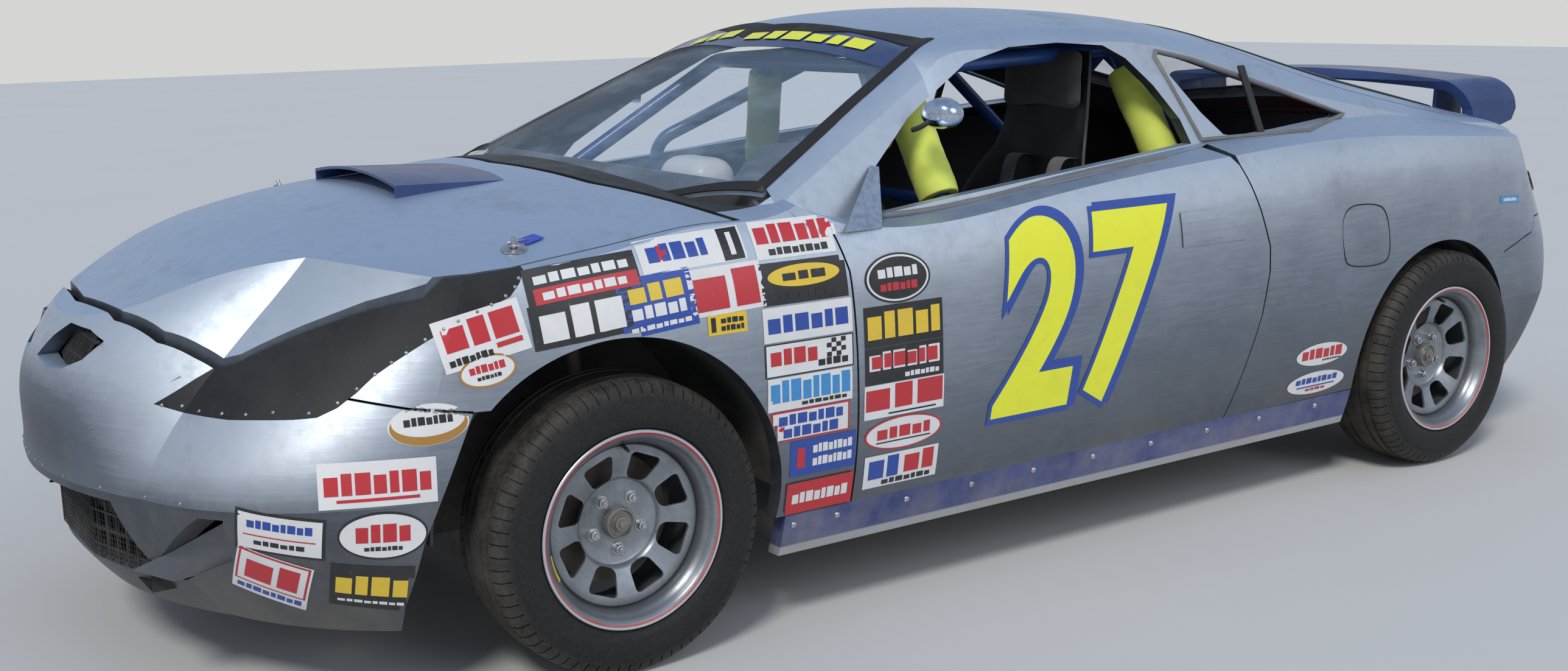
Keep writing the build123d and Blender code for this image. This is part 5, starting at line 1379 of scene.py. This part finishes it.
class CAR_OT_wheels(bpy.types.Operator):
    """Tyres with worn tread, windowed steel wheels, nuts, hubs, brake discs, valves and the red rim line"""
    bl_idname = "stock_car.wheels"
    bl_label = "Wheels"

    def tyre(self, blocks):
        profile = TYRE_HALF + [(-out, radius) for out, radius in reversed(TYRE_HALF)]
        tyre = turned("tyre", profile, "tyre_rubber", blocks)
        step = math.tau / blocks

        def across_tread(a, b):
            same = abs(math.atan2(a.y, a.z) - math.atan2(b.y, b.z)) < step * 0.2
            outside = min(a.yz.length, b.yz.length) > SHOULDER_R
            return same and outside and max(abs(a.x), abs(b.x)) > TREAD_HALF

        choose(tyre, across_tread, "EDGE")
        bpy.ops.mesh.bevel(offset=GROOVE_WIDE, segments=1, affect="EDGES")
        bpy.ops.mesh.extrude_region_shrink_fatten(TRANSFORM_OT_shrink_fatten={"value": -GROOVE_DEEP})
        bpy.ops.object.mode_set(mode="OBJECT")
        return smooth(tyre, 34)

    def rim(self):
        """The steel wheel: a turned section with eight windows cut through its disc."""
        wheel = turned("rim", RIM_FRONT + RIM_BACK + RIM_FRONT[:1], "wheel_steel", 96)
        out, _, radius = WINDOW_PLACE
        cutters = []
        for k in range(WINDOWS):
            clear_selection()
            bpy.ops.mesh.primitive_cube_add(size=1.0, location=WINDOW_PLACE)
            cutter = bpy.context.object
            cutter.scale = WINDOW_SIZE
            settle(cutter)
            choose(cutter, lambda centre, normal: normal.z < -0.9)
            bpy.ops.transform.resize(value=(1, WINDOW_NARROW, 1),
                                     center_override=(out, 0, radius - WINDOW_SIZE[2] / 2))
            bpy.ops.object.mode_set(mode="OBJECT")
            choose(cutter, lambda a, b: abs(a.x - b.x) > 0.05, "EDGE")
            bpy.ops.mesh.bevel(offset=WINDOW_ROUND, segments=4, affect="EDGES")
            bpy.ops.object.mode_set(mode="OBJECT")
            turn = Matrix.Rotation((k + 0.5) * math.tau / WINDOWS, 4, "X")
            cutters.append(placed(cutter, (0, 0, 0), turn))
        windows = join(cutters, "windows")
        modifier(wheel, "BOOLEAN", object=windows, operation="DIFFERENCE", solver="EXACT")
        bpy.data.objects.remove(windows)
        return wheel

    def trim(self):
        """The small turned pieces on a wheel, each with its smoothing angle."""
        made = {name: turned(name, profile, finish, steps, capped=capped)
                for name, profile, finish, steps, capped in TRIM_RINGS}
        nuts = []
        for k in range(NUTS):
            nut = turned("nut", NUT, "bright_steel", 12, capped=True)
            a = -math.pi / 2 + k * math.tau / NUTS
            nuts.append(placed(nut, (0, NUT_CIRCLE_R * math.cos(a), NUT_CIRCLE_R * math.sin(a))))
        placed(made["valve"], VALVE_PLACE, Matrix.Rotation(math.radians(VALVE_LEAN), 4, "Y"))
        keep_faces(made["wheel_tag"],
                   lambda centre, normal: centre.y < -0.160 and -0.080 < centre.z < -0.018)
        rings = {name: (piece, 40 if name == "rim_line" else 35) for name, piece in made.items()}
        return [rings.pop("rim_line"), (join(nuts, "nuts"), 35), *rings.values()]

    def execute(self, context):
        s = context.scene.stock_car_trim
        tyre = self.tyre(s.tread_blocks)
        rim = self.rim()
        trim = self.trim()
        for side, body, place in WHEEL_SPOTS:
            name = body.replace("wheel", "tyre")
            copy = placed(twin(tyre, name + "_finished"), place, side=side)
            show(name_it(copy, name + "_finished", "tyre_rubber"), body, name, slot="tyre_rubber")
            wheel = placed(twin(rim, body + "_steel"), place, side=side)
            show(smooth(name_it(wheel, body + "_steel", "wheel_steel"), 35), body, body, slot="wheel_steel")
            for piece, degrees in trim:
                kind = piece.name.split(".")[0]
                part = placed(twin(piece, f"{body}_{kind}"), place, side=side)
                part.name = f"{body}_{kind}"
                show(smooth(part, degrees), body)
        for piece in [tyre, rim] + [piece for piece, _ in trim]:
            bpy.data.objects.remove(piece)
        return {"FINISHED"}


# Cabin
SEAT_X = 0.365
GAUGE_HOOD_PLACE, GAUGE_HOOD_SIZE = (0.385, -0.545, 0.880), (0.45, 0.25, 0.22)
# Where the hood narrows to, and how far its top is moved back
GAUGE_HOOD_TOP, GAUGE_HOOD_NARROW = (0.385, -0.500, 0.99), (0.46, 0.62, 1)
GAUGE_HOOD_MOVE = (0.085, 0, 0.015)
GAUGES = [(0.285, 0.030), (0.375, 0.044), (0.465, 0.030)]
GAUGE_Y, GAUGE_Z = -0.445, 0.850
GAUGE_TURN, GAUGE_TILT = 82, -14
SWITCH_BOX_LOW, SWITCH_BOX_HIGH = (0.040, -0.690, 0.790), (0.250, -0.560, 0.962)
SWITCH = [(0, 0.006), (0.006, 0.006), (0.007, 0.003), (0.019, 0.0025), (0.020, 0.001)]
SWITCH_PLACE, SWITCH_STEP = (0.115, -0.561, 0.87), 0.03
STRAP_HALF_GAP, STRAP_WIDE = 0.085, 0.048
# A shoulder strap from the bar behind the seat to its cushion, as (along, up)
STRAP_LINE = [(0.360, 0.900), (0.300, 0.930), (0.262, 0.880), (0.235, 0.640), (0.205, 0.420),
              (0.120, 0.330)]


class CAR_OT_cabin(bpy.types.Operator):
    """Instrument hood, gauges, switch box and shoulder straps"""
    bl_idname = "stock_car.cabin"
    bl_label = "Cabin"

    def hood_over_gauges(self):
        clear_selection()
        bpy.ops.mesh.primitive_cube_add(size=1.0, location=GAUGE_HOOD_PLACE)
        piece = bpy.context.object
        piece.scale = GAUGE_HOOD_SIZE
        settle(piece)
        choose(piece, lambda c, n: n.z > 0.9)
        bpy.ops.transform.resize(value=GAUGE_HOOD_NARROW, center_override=GAUGE_HOOD_TOP)
        bpy.ops.transform.translate(value=GAUGE_HOOD_MOVE)
        bpy.ops.object.mode_set(mode="OBJECT")
        modifier(piece, "BEVEL", width=0.030, segments=5)
        choose(piece, lambda c, n: n.y > 0.75 and c.y > -0.47)
        bpy.ops.mesh.inset(thickness=0.014, depth=0.0)
        bpy.ops.mesh.extrude_region_shrink_fatten(TRANSFORM_OT_shrink_fatten={"value": -0.030})
        bpy.ops.object.mode_set(mode="OBJECT")
        return smooth(name_it(piece, "gauge_hood", "dash_cover"), 40)

    def gauge(self, name, place, radius):
        bezel_line = [(0.0, radius), (0.012, radius), (0.014, radius * 0.96), (0.013, radius * 0.88),
                      (0.006, radius * 0.86), (0.006, 0.002)]
        face_line = [(0.0064, radius * 0.85), (0.0068, radius * 0.84), (0.0068, 0.002)]
        bezel = turned(name, bezel_line, "black_metal", 32, capped=True)
        face = turned(name + "_face", face_line, "vinyl_white", 32, capped=True)
        needle = box_piece(name + "_needle", (0.0072, -0.0012, -0.004), (0.0082, 0.0012, radius * 0.66),
                           "vinyl_red", 0.0004, 1)
        turn = (Matrix.Rotation(math.radians(GAUGE_TURN), 4, "Z")
                @ Matrix.Rotation(math.radians(GAUGE_TILT), 4, "Y"))
        for piece, degrees in ((bezel, 35), (face, 35), (needle, 30)):
            show(smooth(placed(piece, place, turn), degrees), "car_body")

    def strap(self, name, across):
        """A flat webbing strap whose line lies in an upright plane along the car."""
        curve = bpy.data.curves.new(name, "CURVE")
        curve.dimensions = "2D"
        spline = curve.splines.new("NURBS")
        spline.points.add(len(STRAP_LINE) - 1)
        for knot, (along, up) in zip(spline.points, STRAP_LINE):
            knot.co = (along, up, 0, 1)
        spline.order_u = 3
        spline.use_endpoint_u = True
        spline.resolution_u = 6
        curve.extrude = STRAP_WIDE / 2
        curve.bevel_depth = 0.0009
        curve.bevel_resolution = 1
        piece = bpy.data.objects.new(name, curve)
        bpy.context.scene.collection.objects.link(piece)
        pick(piece)
        bpy.ops.object.convert(target="MESH")
        piece = bpy.context.object
        turn = Matrix(((0, 0, 1, 0), (1, 0, 0, 0), (0, 1, 0, 0), (0, 0, 0, 1)))
        placed(piece, (across, 0, 0), turn)
        return smooth(name_it(outward(piece), name, "belt_grey"), 40)

    def execute(self, context):
        show(self.hood_over_gauges(), "car_body")
        for k, (x, radius) in enumerate(GAUGES):
            self.gauge(f"gauge_{k + 1}", (x, GAUGE_Y, GAUGE_Z), radius)
        box = box_piece("switch_box", SWITCH_BOX_LOW, SWITCH_BOX_HIGH, "vinyl_white", 0.052, 6)
        show(smooth(box, 40), "car_body")
        x, y, z = SWITCH_PLACE
        for k in range(3):
            switch = smooth(turned(f"switch_{k + 1}", SWITCH, "black_metal", 12, capped=True), 35)
            placed(switch, (x + SWITCH_STEP * k, y, z), Matrix.Rotation(math.pi / 2, 4, "Z"))
            show(switch, "car_body")
        for k, across in enumerate((SEAT_X - STRAP_HALF_GAP, SEAT_X + STRAP_HALF_GAP)):
            show(self.strap(f"harness_shoulder_{k + 1}", across), "car_body")
        return {"FINISHED"}


# Seat: the shell's rows from the knees to the head, each (along, up, half width, wing), and its
# pads, each (name, size, place, lean in degrees)
SEAT_ROWS = [(-0.160, 0.286, 0.205, 0.020), (-0.060, 0.250, 0.222, 0.060), (0.130, 0.224, 0.230, 0.120),
             (0.230, 0.250, 0.232, 0.150), (0.290, 0.350, 0.234, 0.150), (0.318, 0.620, 0.236, 0.130),
             (0.332, 0.830, 0.232, 0.110), (0.338, 0.930, 0.160, 0.040), (0.341, 1.020, 0.150, 0.020),
             (0.344, 1.190, 0.146, 0.010)]
SEAT_PADS = [("seat_cushion", (0.350, 0.360, 0.055), (SEAT_X, 0.040, 0.272), 4),
             ("seat_back_pad", (0.340, 0.480, 0.050), (SEAT_X, 0.288, 0.610), 85),
             ("head_pad", (0.272, 0.150, 0.048), (SEAT_X, 0.308, 1.118), 88)]
SEAT_PADS += [(f"seat_{word}_bolster", (0.060, 0.330, 0.046), (SEAT_X + side * 0.192, 0.212, 0.640), 86)
              for side, word in SIDES]
PAD_VOXEL = 0.009
PAD_PRESSURE, PAD_STEPS = 3.0, 14
PAD_SWELL, PAD_HOLLOW = 0.009, 0.0035


class CAR_OT_seat(bpy.types.Operator):
    """The driver's bucket: a thin shell with padded sides, cushions and a head rest"""
    bl_idname = "stock_car.seat"
    bl_label = "Seat"

    def cushion(self, name, size, place, lean):
        """A crowned pad: a finely divided block blown up by cloth and held to a small swell."""
        clear_selection()
        bpy.ops.mesh.primitive_cube_add(size=1.0)
        piece = bpy.context.object
        piece.scale = size
        settle(piece)
        modifier(piece, "BEVEL", width=min(size) * 0.42, segments=4)
        modifier(piece, "REMESH", mode="VOXEL", voxel_size=PAD_VOXEL)
        start = [v.co.copy() for v in piece.data.vertices]
        cloth = piece.modifiers.new("cloth", "CLOTH")
        cloth.settings.use_pressure = True
        cloth.settings.uniform_pressure_force = PAD_PRESSURE
        cloth.settings.effector_weights.gravity = 0.0
        cloth.point_cache.frame_end = PAD_STEPS
        for step in range(1, PAD_STEPS + 1):
            bpy.context.scene.frame_set(step)
        pick(piece)
        bpy.ops.object.modifier_apply(modifier="cloth")
        bpy.context.scene.frame_set(1)
        for vertex, before in zip(piece.data.vertices, start):
            move = vertex.co - before
            if move.length > PAD_SWELL:
                vertex.co = before + move * (PAD_SWELL / move.length)
            hollow = 1.0 - (abs(before.x) / (size[0] / 2)) ** 2
            if before.z > 0:
                vertex.co.z -= PAD_HOLLOW * max(0.0, hollow)
        modifier(piece, "SUBSURF", levels=1, render_levels=1)
        placed(piece, place, Matrix.Rotation(math.radians(lean), 4, "X"))
        name_it(smooth(piece, 180), name, "seat_cloth")
        return piece

    def shell(self):
        """The bucket's sheet, bent from a grid over its rows."""
        last = len(SEAT_ROWS) - 1
        clear_selection()
        bpy.ops.mesh.primitive_grid_add(x_subdivisions=14, y_subdivisions=last, size=2.0)
        piece = bpy.context.object
        for vertex in piece.data.vertices:
            u = vertex.co.x
            k = round((vertex.co.y + 1) / 2 * last)
            along, up, half, wing = SEAT_ROWS[k]
            before, after = SEAT_ROWS[max(0, k - 1)], SEAT_ROWS[min(last, k + 1)]
            run = Vector((0, after[0] - before[0], after[1] - before[1])).normalized()
            face_in = Vector((0, -run.z, run.y))
            vertex.co = Vector((SEAT_X + u * half, along, up)) + face_in * wing * abs(u) ** 4
        modifier(piece, "SOLIDIFY", thickness=0.010, offset=-1.0)
        outward(piece)
        modifier(piece, "BEVEL", width=0.003, segments=2, limit_method="ANGLE",
                 angle_limit=math.radians(50))
        modifier(piece, "SUBSURF", levels=1, render_levels=1)
        return smooth(name_it(piece, "seat_shell", "seat_shell_black"), 50)

    def execute(self, context):
        pads = [self.cushion(*pad) for pad in SEAT_PADS]
        show(self.shell(), "car_body", "race_seat")
        for pad in pads:
            show(pad, "car_body", slot="seat_cloth")
        for side, word in SIDES:
            foot = box_piece(f"seat_{word}_bracket", (SEAT_X + side * 0.165, -0.070, 0.176),
                             (SEAT_X + side * 0.195, 0.170, 0.232), "black_metal", 0.004)
            show(foot, "car_body")
        return {"FINISHED"}


# Sleeves on the cage, each from one end to the other
SLEEVES = [((0.626, -0.255, 0.872), (0.497, -0.255, 1.084)),
           ((0.620, 0.515, 0.880), (0.458, 0.515, 1.131)),
           ((-0.620, 0.515, 0.880), (-0.458, 0.515, 1.131)),
           ((-0.542, 0.020, 0.864), (-0.459, -0.014, 1.125))]
SLEEVE_R, SLEEVE_BORE_R = 0.050, 0.0225
SLEEVE_ROWS = 14


class CAR_OT_pads(bpy.types.Operator):
    """Foam sleeves on the cage tubes"""
    bl_idname = "stock_car.pads"
    bl_label = "Cage pads"

    def sleeve(self, name, start, end):
        """A slightly ribbed and lumpy foam tube, narrower at its ends."""
        start, end = Vector(start), Vector(end)
        length = (end - start).length
        outer = []
        for k in range(SLEEVE_ROWS + 1):
            narrow = 0.965 if k in (0, SLEEVE_ROWS) else 1.0
            outer.append((length * k / SLEEVE_ROWS, SLEEVE_R * (1.0 - 0.035 * (k % 2)) * narrow))
        bore = [(0.0, SLEEVE_BORE_R)]
        piece = turned(name, bore + outer + [(length, SLEEVE_BORE_R)] + bore, "pad_foam", 40)
        modifier(piece, "BEVEL", width=0.004, segments=2, limit_method="ANGLE",
                 angle_limit=math.radians(50))
        modifier(piece, "SUBSURF", levels=1, render_levels=1)
        cloud = bpy.data.textures.new(name + "_lumps", "CLOUDS")
        cloud.noise_scale = 0.07
        modifier(piece, "DISPLACE", texture=cloud, strength=0.005, mid_level=0.55, texture_coords="LOCAL")
        turn = pointing(end - start) @ Matrix.Rotation(-math.pi / 2, 4, "Y")
        placed(piece, start, turn)
        smooth(piece, 60)
        return piece

    def execute(self, context):
        pads = []
        for k, (start, end) in enumerate(SLEEVES):
            pad = self.sleeve(f"foam_sleeve_{k + 1}", start, end)
            pads.append(pad)
            show(pad, "car_body", slot="pad_foam")
        for pad in pads:
            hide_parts("cage_pads")
        return {"FINISHED"}


# Nose
GRILLE_EDGE = [(-0.355, 0.412), (0.355, 0.412), (0.388, 0.245), (-0.388, 0.245)]
NOSTRIL_EDGE = [(0.040, 0.655), (0.105, 0.641), (0.166, 0.645), (0.216, 0.667), (0.244, 0.704),
                (0.189, 0.720), (0.111, 0.725), (0.076, 0.698)]
CREASE = [(0.288, 0.543), (0.346, 0.583), (0.388, 0.620), (0.415, 0.650)]
WIRE_CELL, WIRE_THICK = 0.0105, 0.0016
GRILLE_SIZE, GRILLE_MIDDLE = (0.776, 0.168), (0, 0.3285)
NOSTRIL_SIZE, NOSTRIL_MIDDLE = (0.206, 0.088), (0.142, 0.684)
AIR_BOX_LOW, AIR_BOX_HIGH = (-0.384, -2.040, 0.222), (0.384, -1.968, 0.428)
RAMP_LOW = [(0.383, 0.274), (0.437, 0.254), (0.553, 0.304)]
RAMP_HIGH = [(0.383, 0.277), (0.440, 0.316), (0.553, 0.396)]


class CAR_OT_nose(bpy.types.Operator):
    """Fine wire mesh in the openings, duct ramps and the creases on the nose"""
    bl_idname = "stock_car.nose"
    bl_label = "Nose"

    def wire(self, name, size, middle, bend, outline):
        """A wire mesh over an opening: a bent grid, trimmed to the outline and made into wires."""
        cells = [round(side / WIRE_CELL) for side in size]
        clear_selection()
        bpy.ops.mesh.primitive_grid_add(x_subdivisions=cells[0], y_subdivisions=cells[1], size=1.0)
        piece = bpy.context.object
        for vertex in piece.data.vertices:
            x = middle[0] + vertex.co.x * size[0]
            z = middle[1] + vertex.co.y * size[1]
            vertex.co = (x, bend(x, z), z)
        mean = middle_of(outline)
        cuts = []
        for (xa, za), (xb, zb) in zip(outline, outline[1:] + outline[:1]):
            corner = Vector((xa, 0, za))
            into = Vector((-(zb - za), 0, xb - xa)).normalized()
            if into.dot(Vector((mean.x, 0, mean.y)) - corner) < 0:
                into = -into
            cuts.append((corner + into * 0.002, into))
        slice_all(piece, cuts, clear_inner=True)
        modifier(piece, "WIREFRAME", thickness=WIRE_THICK, use_even_offset=False)
        return name_it(piece, name, "mesh_wire")

    def ramp(self, side, word):
        """The sheet that slopes back inside a duct in the nose's corner."""
        low, high = [Vector(point) for point in RAMP_LOW], [Vector(point) for point in RAMP_HIGH]
        clear_selection()
        bpy.ops.mesh.primitive_grid_add(x_subdivisions=12, y_subdivisions=4, size=1.0)
        piece = bpy.context.object
        for vertex in piece.data.vertices:
            u, v = (vertex.co.x + 0.5) * 2, vertex.co.y + 0.5
            k = min(1, int(u))
            at = low[k].lerp(low[k + 1], u - k).lerp(high[k].lerp(high[k + 1], u - k), v)
            front = -2.0725 + 0.558 * (at.x - 0.38)
            vertex.co = Vector((side * at.x, front + 0.030 * u, at.y))
        modifier(piece, "SOLIDIFY", thickness=0.0015, offset=0.0)
        outward(piece)
        return smooth(name_it(piece, f"{word}_duct_ramp", "bare_silver"), 50)

    def execute(self, context):
        show(self.wire("grille_wire", GRILLE_SIZE, GRILLE_MIDDLE,
                       lambda x, z: -2.0905 + 0.066 * max(0.0, (abs(x) - 0.150) / 0.238), GRILLE_EDGE),
             "car_body")
        air_box = box_piece("air_box", AIR_BOX_LOW, AIR_BOX_HIGH, "seal_black")
        keep_faces(air_box, lambda centre, normal: normal.y > -0.5)
        modifier(air_box, "SOLIDIFY", thickness=0.002, offset=-1.0)
        show(outward(air_box), "car_body")
        for side, word in SIDES:
            show(self.wire(f"{word}_nostril_wire", NOSTRIL_SIZE, on_both(side, NOSTRIL_MIDDLE),
                           lambda x, z: -2.1095 + 0.57 * (z - 0.632),
                           [on_both(side, point) for point in NOSTRIL_EDGE]), "car_body")
            show(self.ramp(side, word), "car_body")
            points = []
            for across, up in CREASE:
                place, normal = on_nose(side * across, up)
                points.append(tuple(place - normal * 0.0010))
            show(rod(f"{word}_nose_crease", points, 0.0022, "bare_silver", 6), "car_body")
        return {"FINISHED"}


# Running order
OPERATORS = [CAR_OT_stage, CAR_OT_panels, CAR_OT_stickers, CAR_OT_numbers, CAR_OT_rivets, CAR_OT_glass,
             CAR_OT_fittings, CAR_OT_wheels, CAR_OT_cabin, CAR_OT_seat, CAR_OT_pads, CAR_OT_nose]


class CAR_PT_panel(bpy.types.Panel):
    """Lists the steps that finish the car"""
    bl_idname = "CAR_PT_panel"
    bl_label = "Stock car"
    bl_space_type = "VIEW_3D"
    bl_region_type = "UI"
    bl_category = "Stock car"

    def draw(self, context):
        for operator in OPERATORS:
            self.layout.operator(operator.bl_idname)
        for kind, settings in ((StageSettings, context.scene.stock_car_stage),
                               (TrimSettings, context.scene.stock_car_trim)):
            for name in kind.__annotations__:
                self.layout.prop(settings, name)


CLASSES = [StageSettings, TrimSettings, *OPERATORS, CAR_PT_panel]


def register():
    for cls in CLASSES:
        bpy.utils.register_class(cls)
    bpy.types.Scene.stock_car_stage = PointerProperty(type=StageSettings)
    bpy.types.Scene.stock_car_trim = PointerProperty(type=TrimSettings)


def unregister():
    del bpy.types.Scene.stock_car_trim
    del bpy.types.Scene.stock_car_stage
    for cls in reversed(CLASSES):
        bpy.utils.unregister_class(cls)


def main():
    register()
    make_materials()
    make_shell()
    for operator in OPERATORS:
        group, name = operator.bl_idname.split(".")
        getattr(getattr(bpy.ops, group), name)()
    bpy.data.objects.remove(SHELL.pop("object"))


if __name__ == "__main__":
    main()
